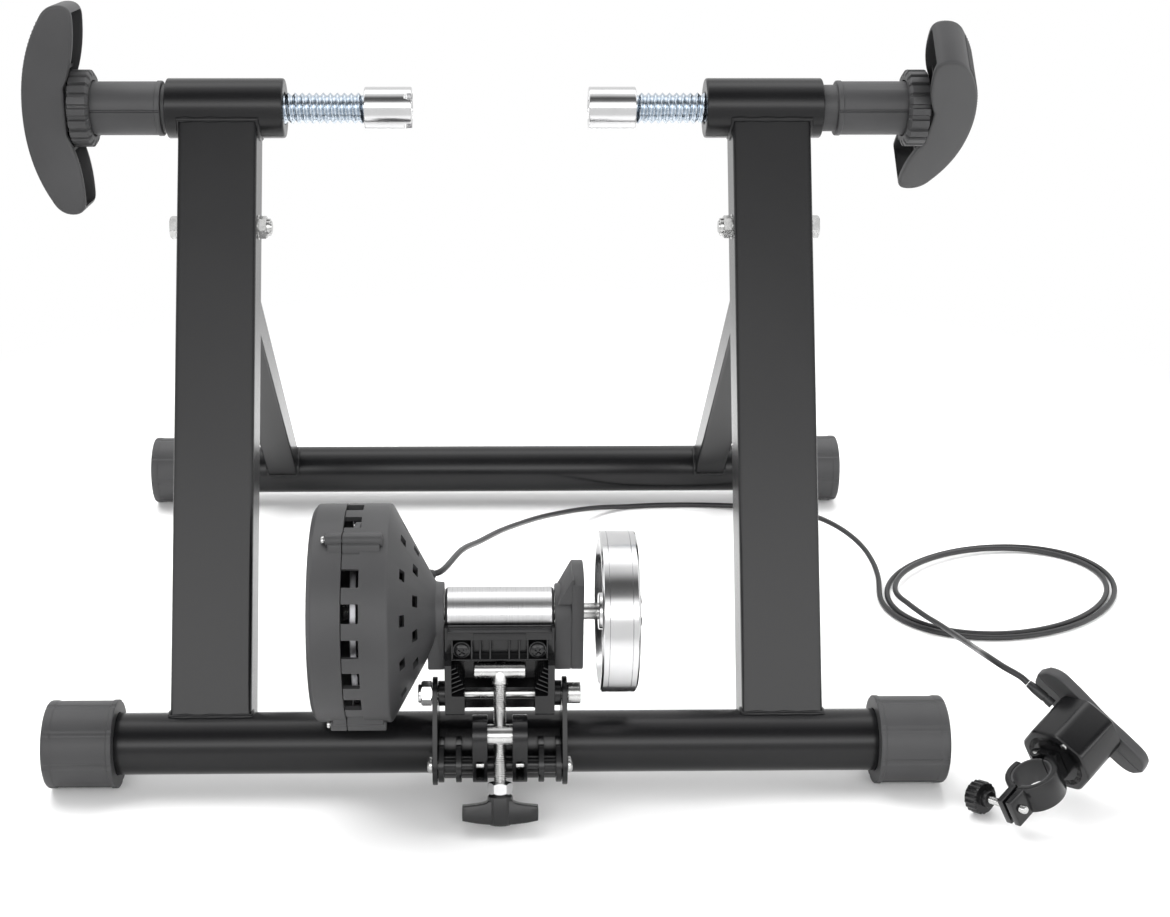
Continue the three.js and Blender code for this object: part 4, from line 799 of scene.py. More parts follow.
# Drawn with X as the width, Y along the span and Z outwards.
def handleMesh():
    h = handle
    width, wall = h["width"] / 2, h["shell"]
    shell = plate(crescent(0), -width, width, 2.2, 4)
    hollow = plate(crescent(wall), wall - width, width - wall, 1.2, 2)
    parts = [carved(shell, [hollow])]
    parts.append(moved(rod(h["boss"], h["middleInner"] - 1, h["outer"] - wall, 64, 0.6), spun(-90, "Y")))
    inset = width - h["ribInset"]
    for y in h["ribs"]:
        low, high = y - h["ribHalf"], y + h["ribHalf"]
        rib = [(low, h["ribLow"]), (high, h["ribLow"]), (high, h["ribHigh"]), (low, h["ribHigh"])]
        parts.append(plate(rib, -inset, inset))
    outer = sorted(p for p in crescent(0) if p[1] > h["tipOuter"] + h["tipRadius"] / 2 - 1)
    reach = width - h["ridgeInset"]
    y = -h["ridgeReach"]
    while y <= h["ridgeReach"]:
        below = max((p for p in outer if p[0] <= y), default=outer[0])
        above = min((p for p in outer if p[0] >= y), default=outer[-1])
        share = 0 if above[0] == below[0] else (y - below[0]) / (above[0] - below[0])
        z = below[1] + (above[1] - below[1]) * share
        parts.append(moved(rod(h["ridgeRadius"], -reach, reach, 8, 0.5), shift(0, y, z - 0.1)))
        y += h["ridgePitch"]
    return together(*parts)


def teethRipple(angle, x, radius):
    if radius < clamp["ringRadius"] - 3:
        return radius
    share = angle * clamp["ringTeeth"] / (2 * math.pi) % 1
    return radius - (clamp["toothDepth"] if share > 0.62 else 0)


# A parting line along the hub's front and back.
def hubRipple(angle, x, radius):
    if radius < clamp["hubRadius"] - 1.2:
        return radius
    off = abs((angle % math.pi) - math.pi * 0.53) * radius
    return radius - clamp["seamDepth"] if off < clamp["seamWidth"] / 2 else radius


def onAxle(bm, sign, outwards, turn=0):
    axle = shift(0, upright["axleY"], upright["axleZ"])
    return mirrored(moved(bm, shift(outwards)), sign, spun(turn), axle)


def addClamp(side, sign, outwards, turn, notchAngles):
    c = clamp
    inner, outer, radius = c["sleeveInner"], c["sleeveOuter"], upright["sleeveRadius"]
    threadEnd = inner + c["threadLength"]
    sleeve = turned(rounded([
        (inner, c["threadBore"], 0.8), (inner, radius, 1.8), (outer, radius, 1.0),
        (outer, c["counterbore"], 0.5), (threadEnd, c["counterbore"]), (threadEnd, c["threadBore"]),
    ], 5), 128)
    addPiece(side + "Sleeve", onAxle(sleeve, sign, 0), "paint", side + "_clamp_sleeve")

    front, back = c["cupFace"], c["cupFace"] + c["cupLength"]
    floor, socket = front + c["cupDepth"], back - c["socketDepth"]
    cup = solid([
        (floor, 0), (floor, c["cupBore"], 0.6), (front, c["cupBore"], 0.9), (front, c["cupRadius"], 1.0),
        (back, c["cupRadius"], 1.1), (back, c["socketBore"], 0.3), (socket, c["socketBore"]), (socket, 0),
    ], 128, 5)
    notches = []
    half = c["notch"]
    for angle in notchAngles:
        notches.append(moved(block((front - 3, front + half), (-half, half), (5, 20)), spun(angle)))
        notches.append(moved(rod(half, 5, 20, 24, 0), spun(-90, "Y"), shift(front + half), spun(angle)))
    addPiece(side + "Cup", onAxle(carved(cup, notches), sign, outwards), "chrome", side + "_axle_cup", 30)

    screw = threaded(c["screwCore"], c["screwCrest"], c["pitch"], socket + 0.3, c["screwEnd"], 64, 10)
    addPiece(side + "Screw", onAxle(screw, sign, outwards), "zinc", side + "_clamp_screw", 50)

    start, end, neck, bore = c["hubInner"], c["hubOuter"], c["hubInner"] - c["neckLength"], c["threadBore"]
    ringStart, ringEnd = c["ringInner"], c["ringInner"] + c["ringLength"]
    skin = c["hubRadius"] - c["hubStep"]
    hub = turned(rounded([
        (neck, bore, 0.3), (neck, c["neckRadius"], 0.8), (start, c["neckRadius"], 0.4),
        (start, c["hubRadius"], 1.0), (start + 3.2, c["hubRadius"], 0.2), (start + 3.6, skin, 0.2),
        (ringStart + 4, skin, 0.2), (end, skin, 0.4), (end, bore, 0.3),
    ], 3), 160, ripple=hubRipple)
    addPiece(side + "Hub", onAxle(hub, sign, outwards), "mould", side + "_clamp_hub")

    ring = turned(rounded([
        (ringStart, c["ringBore"], 0.4), (ringStart, c["ringRadius"] - 2.6, 0.6),
        (ringStart + 1.6, c["ringRadius"], 0.6), (ringEnd, c["ringRadius"], 0.8),
        (ringEnd, c["ringBore"], 0.4),
    ], 3), 240, ripple=teethRipple)
    addPiece(side + "LockRing", onAxle(ring, sign, outwards), "mould", side + "_lock_ring", 30)

    grip = moved(handleMesh(), standing.transposed())
    addPiece(side + "Handle", onAxle(grip, sign, outwards, turn), "mould", side + "_handle", 32)


addClamp("left", -1, 0, clamp["leftTurn"], clamp["leftNotches"])
addClamp("right", 1, clamp["rightOffset"], clamp["rightTurn"], clamp["rightNotches"])
print("clamps")

# Cheeks, roller, flywheel and shaft, drawn with the drum about the roller's own axis
cheek = {
    "inner": 33, "thickness": 10, "radius": 17, "drop": 31, "corner": 1.5, "fin": 31, "finThickness": 7,
    "boreDepth": 8.6, "shaftHole": 5.8,
}
rotor = {
    "shaft": 5, "shaftLow": -94, "shaftHigh": 84.5, "shaftGap": 0.3, "roller": 15, "rollerLow": -32.4,
    "rollerHigh": 32.5, "wheel": 48.5, "wheelX": 59.5, "wheelWidth": 22, "rim": 5, "web": 12, "hub": 11,
    "webStep": 25, "discHub": 11, "disc": 54, "discX": (-90, -86, -82), "nutFlats": 17,
}


def onRoller(bm):
    return moved(bm, shift(unit["x"], unit["y"], unit["z"]))


# The two lower corners that both cheek outlines end in.
def cheekFoot():
    side, low, corner = cheek["radius"], -cheek["drop"], cheek["corner"]
    return [(-side, low + corner), (corner - side, low), (side - corner, low), (side, low + corner)]


def cheekOutline():
    return arc(cheek["radius"], 0, 180, 24) + cheekFoot()


def lugPlaces():
    for angle in drum["lugAngles"]:
        turn = math.radians(angle)
        yield -drum["lugReach"] * math.sin(turn), drum["lugReach"] * math.cos(turn)


# The screw lugs: round posts, each on a web whose sides run out into the shell.
def drumLugs(postLow, postHigh, webLow, webHigh):
    foot, deep = drum["lugRadius"] * 2.6, drum["radius"] - 4
    flank, top = drum["lugRadius"] + 1, drum["lugReach"] + 1.2
    web = rounded([(-foot, deep), (foot, deep), (flank, top, 2.5), (-flank, top, 2.5)], 5)
    posts = [moved(rod(drum["lugRadius"], postLow, postHigh, 40, 0.9), shift(0, y, z))
             for y, z in lugPlaces()]
    return posts + [moved(plate(web, webLow, webHigh, 0.8, 2), spun(angle)) for angle in drum["lugAngles"]]


def addDrum():
    d = drum
    seam, shoulder, radius, inner = d["seam"], d["shoulder"], d["radius"], d["radius"] - d["wall"]
    root = d["neckX"] - (d["hubRadius"] - d["neckRadius"] + d["slopeWall"] * drumSlope) / drumSlope
    back = turned(rounded([
        (seam, inner, 0.4), (seam, radius, 0.7), (shoulder - 1, radius, 2.6),
        (d["neckX"], d["neckRadius"] + 0.4, 2.2), (-cheek["inner"], d["neckRadius"], 0.5),
        (-cheek["inner"], d["bore"], 0.6), (d["hubEnd"], d["bore"]), (d["hubEnd"], d["hubRadius"]),
        (root, d["hubRadius"]), (shoulder - 1.5, inner, 1),
    ], 5), 160)
    cuts = []
    half = d["ventWidth"] / 2
    for k in range(d["vents"]):
        vent = block((seam - 2, seam + d["ventLength"]), (-half, half), (inner - 4, radius + 4), 0.7, 2)
        cuts.append(moved(vent, spun((k + 0.5) * 360 / d["vents"])))
    lean = math.degrees(math.atan2(d["neckX"] - shoulder, radius - d["neckRadius"]))
    for row, reach in enumerate(d["slopeVentRows"]):
        x = d["neckX"] - (reach - d["neckRadius"]) / drumSlope
        for k in range(d["slopeVents"]):
            vent = block(*((-size, size) for size in d["slopeVentHalf"]), 0.5, 2)
            turn = (k + 0.5 * row) * 360 / d["slopeVents"] + d["slopeTurn"]
            cuts.append(moved(vent, spun(lean - 90, "Y"), shift(x, 0, reach), spun(turn)))
    adds = [plate(cheekOutline(), -cheek["inner"] - cheek["thickness"], -cheek["inner"], 0.9, 2)]
    adds += drumLugs(seam, d["lugEnd"], seam, d["lugEnd"] - 1.5)
    hollow = rod(d["bore"], d["hubEnd"] - 2, 2 - cheek["inner"], 96, 0)
    back = carved(carved(back, cuts), [hollow], adds)
    flange, neck, tip = d["glandRadii"]
    end = cable["glandLength"]
    gland = solid([(-4, 0), (-4, flange, 0.3), (0.6, flange, 0.5), (0.6, neck, 0.3), (end - 1.4, neck, 0.4),
                   (end - 1.4, tip, 0.2), (end, tip, 0.5), (end, 0)])
    foot, normal = glandSeat()
    aim = Vector((1, 0, 0)).rotation_difference(normal).to_matrix().to_4x4()
    gland = moved(gland, aim, Matrix.Translation(foot))
    addPiece("drumBack", onRoller(together(back, gland)), "mould", "drum_back", 32)

    face, rim, ease = d["coverX"], d["coverRim"], d["coverEase"]
    edge, start = seam - d["coverGap"], d["lugStart"]
    cover = solid([
        (face, 0), (face + 0.2, rim * 0.45, 8), (face + 0.8, rim - ease, 3), (face + ease, rim, 2),
        (edge, radius, 0.5), (edge, inner, 0.3), (face + ease + 4, inner - 2, 3),
        (face + 4.6, rim - ease - 3, 2), (face + 4.3, 0),
    ], 160, 6)
    sockets = [moved(rod(d["screwBore"], start - 2, seam + 2, 24, 0), shift(0, y, z))
               for y, z in lugPlaces()]
    cover = carved(cover, sockets, drumLugs(start, edge, start + 1.5, edge))
    addPiece("drumCover", onRoller(cover), "mould", "drum_cover", 32)
    for i, (y, z) in enumerate(lugPlaces()):
        head = rod(d["screwHead"], start - 2.3, start - 0.3, 32, 0.7)
        shank = rod(d["screwShank"], start - 1, d["lugEnd"] - 2, 20, 0.3)
        head = carved(head, crossRecess(start - 3, start - 1.3, 0.3, 1.5))
        screw = moved(together(head, shank), shift(0, y, z))
        addPiece(f"drumScrew{i + 1}", onRoller(screw), "steel", f"drum_screw_{i + 1}")


def addRightCheek():
    inner, radius, fin = cheek["inner"], cheek["radius"], cheek["fin"]
    start = inner + cheek["thickness"]
    topZ = math.sqrt(fin ** 2 - radius ** 2)
    ring = [p for p in arc(fin, 0, 120, 30) if p[0] >= -radius]
    outline = ring + [(-radius, topZ)] + cheekFoot() + [(radius, 0)]
    wing = plate(outline, start - 0.2, start + cheek["finThickness"], 0.9, 2)
    slope = [(inner + 1.5, radius - 4), (start + 1, radius - 4), (start + 1, fin - 1.5),
             (start - 0.5, fin - 2.5)]
    gusset = moved(plate(slope, 6 - radius, radius - 0.5, 0.6, 2), spun(-90, "Z"))
    holes = [rod(drum["bore"], inner - 2, inner + cheek["boreDepth"], 64, 0),
             rod(cheek["shaftHole"], 0, 60, 48, 0)]
    body = carved(plate(cheekOutline(), inner, start, 0.9, 2), holes, [wing, gusset])
    addPiece("rightCheek", onRoller(body), "mould", "right_cheek")


def addRotor():
    r = rotor
    shaft, bore, roller = r["shaft"], r["shaft"] + r["shaftGap"], r["roller"]
    low, high = r["shaftLow"], r["shaftHigh"]
    spindle = solid([(low, 0), (low, shaft, 0.8), (high, shaft, 0.9), (high, 0)], 64, 4)
    addPiece("rollerShaft", onRoller(spindle), "steel", "roller_shaft")
    low, high = r["rollerLow"], r["rollerHigh"]
    barrel = turned(rounded([
        (low, bore, 0.2), (low, roller - 1.2, 0.5), (low + 1.4, roller, 0.5), (high - 1.4, roller, 0.5),
        (high, roller - 1.2, 0.5), (high, bore, 0.2),
    ], 3), 160)
    addPiece("rollerBarrel", onRoller(barrel), "roller", "roller")
    low, middle, high = r["discX"]
    disc = turned(rounded([
        (low, bore, 0.2), (low, r["discHub"], 0.4), (middle, r["discHub"], 0.3), (middle, r["disc"], 0.5),
        (high, r["disc"], 0.5), (high, bore, 0.2),
    ], 3), 128)
    addPiece("eddyDisc", onRoller(disc), "magnet", "eddy_disc")
    low, high = r["wheelX"], r["wheelX"] + r["wheelWidth"]
    inset, wheel, rimIn = (r["wheelWidth"] - r["web"]) / 2, r["wheel"], r["wheel"] - r["rim"]

    def face(x, into):
        deep = x + into * inset
        return [
            (x, bore, 0.2), (x, r["hub"], 0.8), (deep, r["hub"] + 0.8, 1.2),
            (x + into * (inset + 0.6), r["webStep"] - 1, 0.5), (deep, r["webStep"], 0.5),
            (deep, rimIn - 0.6, 1.4), (x, rimIn, 0.5), (x, rimIn + 1.7, 0.2),
            (x + into * 0.5, rimIn + 2.0, 0.2), (x, rimIn + 2.3, 0.2), (x, wheel - 1.2, 0.4),
        ]
    groove = wheel - 0.35
    rimLine = [(low + 1.2, wheel, 0.4), (low + 4, wheel), (low + 4.25, groove), (low + 4.5, wheel),
               (high - 4.5, wheel), (high - 4.25, groove), (high - 4, wheel), (high - 1.2, wheel, 0.4)]
    body = turned(rounded(face(low, 1) + rimLine + face(high, -1)[::-1], 4), 192)
    addPiece("flywheelDisc", onRoller(body), "chrome", "flywheel", 30)
    nut = carved(hexagon(r["nutFlats"], high + 0.3, high + 3.9, 0.9), [rod(bore, high - 1, high + 8, 48, 0)])
    addPiece("flywheelNut", onRoller(nut), "steel", "flywheel_nut", 30)


addDrum()
addRightCheek()
addRotor()
print("drum and rotor")

# Cradle, bracket and tension screw, drawn from the unit's middle
cradle = {
    "half": 32.7, "wall": 4, "front": -31, "back": 17, "shieldOut": -19.2, "shieldIn": -16.5, "shoulder": 100,
    "floor": 63, "floorTop": 77, "ceiling": 97, "pocketBack": -9, "slotHalf": 21, "slotBack": -20.3,
    "screwX": 22.6, "screwZ": 104.6, "screwRadius": 4.6, "screwTurn": 35, "fins": 6, "finPitch": 3.1,
    "finReach": 8.5, "finShorter": 1.1, "finLean": 24, "latticeX": (5.6, 11.6, 16.6, 28.2), "brow": 31,
    "browFront": -25, "browLow": 111.6, "browLip": 15.5, "rollerGap": 1.4,
}
tilt = {"y": -15, "z": 70, "bolt": 4, "hole": 4.3, "boss": 7.6, "plateX": 37.4, "plate": 3}


def onUnit(bm):
    return moved(bm, shift(unit["x"]))


def addCradle():
    c = cradle
    front, floor, ceiling, shoulder = c["front"], c["floor"], c["ceiling"], c["shoulder"]
    brow, shieldOut, shieldIn, axis = c["browFront"], c["shieldOut"], c["shieldIn"], unit["z"]
    inside = c["half"] - c["wall"]
    side = [
        (front, floor + 2), (front + 2, floor), (tilt["y"] + tilt["boss"], floor), (c["back"], c["floorTop"]),
        (c["back"], ceiling + c["wall"]), (shieldIn, ceiling + c["wall"]), (shieldIn, axis - 0.6),
        (shieldIn - 0.7, axis), (shieldOut + 0.7, axis), (shieldOut, axis - 0.8), (shieldOut, shoulder + 0.6),
        (shieldOut - 0.8, shoulder), (front + 2.2, shoulder), (front, shoulder - 2.2),
    ]
    middle, slot = (-inside, inside), (-c["slotHalf"], c["slotHalf"])
    cuts = [
        block(middle, (front - 4, c["pocketBack"]), (c["floorTop"], ceiling), 1.2, 3),
        block(slot, (front - 4, c["slotBack"]), (floor - 4, c["floorTop"] + 2), 1.0, 2),
        drill(rotor["roller"] + c["rollerGap"], unit["y"], axis, 128),
        drill(tilt["hole"], tilt["y"], tilt["z"]),
        block(middle, (front - 4, shieldOut - 0.6), (ceiling - 2, shoulder + 2)),
        block(slot, (front - 9, tilt["y"]), (tilt["z"] - 1, tilt["z"] + 5)),
    ]
    boss, lip = tilt["plateX"] - 0.3, c["browLip"]
    adds = [
        moved(rod(tilt["boss"], -boss, boss, 64, 0.6), shift(0, tilt["y"], tilt["z"])),
        block((-c["brow"], c["brow"]), (brow, shieldOut + 1), (c["browLow"], axis - 0.5), 0.6, 2),
        block((-lip, lip), (brow - 0.9, brow + 1), (c["browLow"] + 0.7, axis - 1.2), 0.4, 2),
    ]
    parts = [carved(plate(side, -c["half"], c["half"], 0.7, 2), cuts, adds)]
    depth = (brow + 0.6, shieldOut + 0.3)
    for sign in (-1, 1):
        for k in range(c["fins"]):
            z = c["floorTop"] + 1.6 + k * c["finPitch"]
            width = onSide(sign, inside + 0.3, inside - c["finReach"] + k * c["finShorter"])
            fin = block(width, (front + 1.5, c["pocketBack"] + 0.5), (-0.5, 0.5), 0.2, 1)
            lean = spun(sign * c["finLean"], "Y")
            parts.append(moved(fin, shift(-sign * inside), lean, shift(sign * inside, 0, z)))
        for x in c["latticeX"]:
            rise = (ceiling + 0.8, c["browLow"] + 0.4)
            parts.append(block((sign * x - 0.6, sign * x + 0.6), depth, rise, 0.2, 1))
        post = moved(rod(c["screwRadius"] + 0.9, brow + 0.8, depth[1], 48, 0.5), spun(90, "Z"))
        parts.append(moved(post, shift(sign * c["screwX"], 0, c["screwZ"])))
    beam = (-inside - 0.3, inside + 0.3)
    parts.append(block(beam, (brow + 0.3, depth[1]), (ceiling + 0.6, ceiling + 1.8), 0.3, 1))
    addPiece("rollerCradle", onUnit(together(*parts)), "black", "roller_cradle", 32)
    radius = c["screwRadius"]
    for side, sign in sideList:
        head = solid([(0, 0), (0, radius - 0.2, 0.2), (1.1, radius, 0.5), (2.2, radius * 0.62, 0.8),
                      (2.4, 0)], 48, 4)
        head = carved(head, crossRecess(1.4, 4, 0.5, 2.4))
        where = shift(sign * c["screwX"], brow + 0.85, c["screwZ"])
        head = moved(head, spun(-90, "Z"), spun(c["screwTurn"], "Y"), where)
        addPiece(side + "CradleScrew", onUnit(head), "black", ("roller_cradle",))


bracket = {
    "lowY": -34, "lowZ": 31.5, "lowRadius": 12, "rearY": 6, "rearZ": 50, "rearRadius": 7, "topRadius": 10,
    "half": 37, "frontRadius": 10.5, "web": 3.5, "middleWeb": 26.5, "ear": 7.4, "earThickness": 9,
    "earRadius": 12, "earHollow": 2.2, "barrelY": -38, "barrelZ": 54.7, "barrelRadius": 6.3, "barrelHalf": 16,
    "barrelBore": 2.2, "cross": 3, "crossHole": 3.3, "crossHead": 5, "crossKey": 4, "sleeve": 5.2,
    "saddleRadius": 22.8, "fit": 0.1, "pivotHead": 6.5, "pivotKey": 6, "nutFlats": 13, "collar": 5.6,
}


def addBracket():
    b = bracket
    lowAt, tubeAt, tiltAt = (b["lowY"], b["lowZ"]), (0, base["height"]), (tilt["y"], tilt["z"])
    barrelAt, tubeHole = (b["barrelY"], b["barrelZ"]), base["radius"] + b["fit"]
    outline = belt([(*lowAt, b["lowRadius"]), (b["rearY"], b["rearZ"], b["rearRadius"]),
                    (*tiltAt, b["topRadius"])], 14)
    outerX = tilt["plateX"] + tilt["plate"]
    for side, sign in sideList:
        holes = [drill(tubeHole, *tubeAt, 128), drill(tilt["hole"], *tiltAt), drill(b["crossHole"], *lowAt)]
        bm = carved(plate(outline, *onSide(sign, tilt["plateX"], outerX), 0.5, 2), holes)
        addPiece(side + "BracketPlate", onUnit(bm), "paint", f"bracket_{side}_plate")

    low, tube = (*lowAt, b["frontRadius"]), (*tubeAt, base["radius"] / 2)
    webLine = belt([low, tube, (b["lowY"], b["lowZ"] + b["frontRadius"], b["frontRadius"] / 3)], 10)
    earLine = belt([low, tube, (*barrelAt, b["earRadius"])], 14)
    ear, earEnd, hollow = b["ear"], b["ear"] + b["earThickness"], b["earHollow"]
    solids = []
    for sign in (-1, 1):
        for x in (b["half"], b["middleWeb"]):
            solids.append(plate(webLine, *onSide(sign, x, x - b["web"]), 0.6, 2))
        solids.append(plate(earLine, *onSide(sign, ear, earEnd), 0.7, 2))
    inner = base["radius"] + base["fit"]
    saddle = arc(b["saddleRadius"], 128, 226, 14, *tubeAt) + arc(inner, 226, 128, 14, *tubeAt)
    solids.append(plate(saddle, -b["half"], b["half"], 0.4, 1))
    solids.append(drill(b["sleeve"], *lowAt, 48, b["half"] - 0.5))
    cuts = [drill(tubeHole, *tubeAt, 128), drill(b["crossHole"], *lowAt),
            drill(b["barrelRadius"] + 0.2, *barrelAt, 64)]
    for sign in (-1, 1):
        cuts.append(block(onSide(sign, ear + hollow, earEnd - hollow), (-50, -29), (26.5, 42), 0.8, 2))
    first, *others = solids
    addPiece("bracketBlock", onUnit(carved(first, cuts, others)), "black", "bracket_block", 32)

    reach, wide = outerX + 0.3, b["crossHead"]
    parts = [rod(b["cross"], -reach - 1, reach + 1, 32, 0)]
    for sign in (-1, 1):
        head = solid([(reach, 0), (reach, wide, 0.2), (reach + 1.7, wide, 0.6), (reach + 3, 3.4, 0.8),
                      (reach + 3, 0)], 48, 4)
        parts.append(mirrored(carved(head, [hexagon(b["crossKey"], reach + 1, reach + 6, 0)]), sign))
    cross = moved(together(*parts), shift(0, *lowAt))
    addPiece("crossBolt", onUnit(cross), "steel", "bracket_cross_bolt")
    bolt = rod(tilt["bolt"], -reach - 8.5, reach + 2, 32, 0.6)
    key = hexagon(b["pivotKey"], reach + 3, reach + 12, 0)
    head = carved(rod(b["pivotHead"], reach, reach + 8, 64, 0.8), [key])
    bolt = moved(together(bolt, head), shift(0, *tiltAt))
    addPiece("pivotBolt", onUnit(bolt), "steel", "unit_pivot_bolt", 30)
    collar = pipe(b["collar"], foldBolt["bore"], -reach - 8.5, -reach - 6, 48, 0.6)
    nut = together(hexagon(b["nutFlats"], -reach - 6.6, -reach, 0.9), collar)
    addPiece("pivotNut", onUnit(moved(nut, shift(0, *tiltAt))), "chrome", "unit_pivot_nut", 30)


tension = {
    "headY": -22, "headZ": 90, "headRadius": 5, "headHalf": 15.5, "collar": 4.9, "collarLength": 8.5,
    "rod": 3.9, "threadDepth": 0.55, "rodStart": 2.3, "length": 80, "pitch": 1.25, "nutFlats": 13,
    "nutStart": 67, "nutLength": 6.5, "hubStart": 74, "hubRadius": 7.2, "hubLength": 18, "facets": 12,
    "span": 45, "wingStart": 79, "wingLength": 10, "wingDepth": 10,
}


# From the screw's own frame, its X running down the screw.
def onTension(bm):
    lean = math.atan2(bracket["barrelY"] - tension["headY"], bracket["barrelZ"] - tension["headZ"])
    head = shift(unit["x"], tension["headY"], tension["headZ"])
    return moved(bm, standing, Matrix.Rotation(-lean, 4, "X"), head)


def addTension():
    t, b = tension, bracket
    barrel = pipe(b["barrelRadius"], b["barrelBore"], -b["barrelHalf"], b["barrelHalf"], 64, 0.7)
    barrel = moved(barrel, shift(0, b["barrelY"], b["barrelZ"]))
    addPiece("barrelNut", onUnit(barrel), "steel", "barrel_nut")
    bar = moved(rod(t["headRadius"], -t["headHalf"], t["headHalf"], 64, 1.2), standing.transposed())
    collar = rod(t["collar"], 0, t["collarLength"], 48, 0.7)
    addPiece("tensionHead", onTension(together(bar, collar)), "steel", "tension_head")
    screw = threaded(t["rod"] - t["threadDepth"], t["rod"], t["pitch"], t["rodStart"], t["length"], 32, 6)
    addPiece("tensionScrew", onTension(screw), "steel", "tension_screw", 60)
    nut = hexagon(t["nutFlats"], t["nutStart"], t["nutStart"] + t["nutLength"], 0.9)
    addPiece("jamNut", onTension(nut), "chrome", "tension_jam_nut", 30)

    half, start, end = t["span"] / 2, t["wingStart"], t["wingStart"] + t["wingLength"]
    hub, inner, outer = t["hubRadius"], t["hubStart"], t["hubStart"] + t["hubLength"]
    lift = inner + t["hubLength"] / 6
    outline = (bend((-half, start + 1.5), (-hub, start + 0.5), (-hub, lift), 10)
               + bend((hub, lift), (hub, start + 0.5), (half, start + 1.5), 10)
               + bend((half, start + 1.5), (half + 0.3, start + 4), (half, end), 4)
               + bend((half, end), (0, end + t["wingLength"] / 2), (-half, end), 16)
               + bend((-half, end), (-half - 0.3, start + 4), (-half, start + 1.5), 4))
    wings = moved(plate(outline, -t["wingDepth"] / 2, t["wingDepth"] / 2, 1.2, 3), spun(90, "Y"))
    facets = solid([(inner, 0), (inner, hub - 0.6, 0.5), (inner + 1.2, hub + 0.3, 0.5),
                    (outer - 1.2, hub + 0.3, 0.6), (outer, hub - 0.8, 0.6), (outer, 0)], t["facets"])
    addPiece("tensionKnob", onTension(together(wings, facets)), "black", "tension_knob", 28)


addCradle()
addBracket()
addTension()
print("cradle, bracket and tension screw")

# Remote lever, drawn with X along the lever's axis and Z up from it
pod = {
    "radius": 23.6, "half": 17.5, "wall": 2.6, "corner": 7.5, "post": 4, "spool": 19.6, "paddleX": 18,
    "paddle": 7, "span": 84, "lobe": 14.5, "tip": 11.5, "waist": 8.6, "paddleTurn": -128.6, "barX": -38,
    "barRadius": 11.3, "jaw": 16, "jawHalf": 9, "lining": 1.25, "pinX": -22, "pinY": 8.4, "pin": 1.6,
    "knuckle": 3.7, "arm": 6.5, "earX": -60, "earReach": 6, "earY": (1, 5.4), "seat": 1.9, "seatHalf": 6.2,
    "seatY": 5.1, "thumb": 2.4, "threadDepth": 0.4, "threadPitch": 0.8, "stemStart": -8.8, "fixedGap": 0.3,
    "swingGap": 1.4, "knobStart": 22, "knobLength": 9, "knobRadius": 10, "knobCollar": 5, "ridges": 18,
    "ridgeDepth": 0.7, "cableHole": 2.5, "caseScrew": 1.9, "caseScrewTurns": (40, 220), "blendRate": 1.25,
    "blendStart": 0.12, "waistOf": 9.5, "waistAt": 3, "waistReach": 13,
}


def onRemote(bm):
    return moved(bm, remoteFrame())


# Stands a mesh drawn along X up along Z, at (x, y).
def stoodAt(bm, x, y=0):
    return moved(bm, spun(-90, "Y"), shift(x, y))


def paddleOutline():
    span, lobe, tipSize = pod["span"], pod["lobe"], pod["tip"]
    top, count = [], 40

    def rounding(size, gap):
        return size * math.sqrt(max(0, 1 - (1 - min(1, gap / size)) ** 2))
    for k in range(count + 1):
        share = k / count
        y = span * (share - 0.5)
        left, right = span * share, span * (1 - share)
        width, tip = rounding(lobe, left), rounding(tipSize, right)
        blend = min(1, max(0, share * pod["blendRate"] - pod["blendStart"]))
        body = width * (1 - blend) + min(tipSize, tip * 1.15 if right < tipSize else tipSize) * blend
        body = min(body, width, tip if right < tipSize else body)
        off = (y - pod["waistAt"]) / pod["waistReach"]
        dip = 1 - (1 - pod["waist"] / pod["waistOf"]) * math.exp(-off ** 2)
        top.append((y, max(0.05, body * dip)))
    return top + [(y, -w) for y, w in reversed(top)]


# Part of a ring round the handlebar, from one angle to another.
def jawRing(low, high, inner, outer, half, bevel):
    outline = arc(outer, low, high, 30) + arc(inner, high, low, 30)
    return moved(plate(outline, -half, half, bevel, 2), standing, shift(pod["barX"]))


# The holes of both jaws: pin, handlebar and thumb screw.
def jawHoles(gap):
    p = pod
    thumb = moved(rod(p["thumb"] + gap, -20, 20, 24, 0), spun(90, "Z"), shift(p["earX"]))
    return [stoodAt(rod(p["pin"] + 0.3, -20, 20, 24, 0), p["pinX"], p["pinY"]),
            stoodAt(rod(p["barRadius"], -20, 20, 96, 0), p["barX"]), thumb]


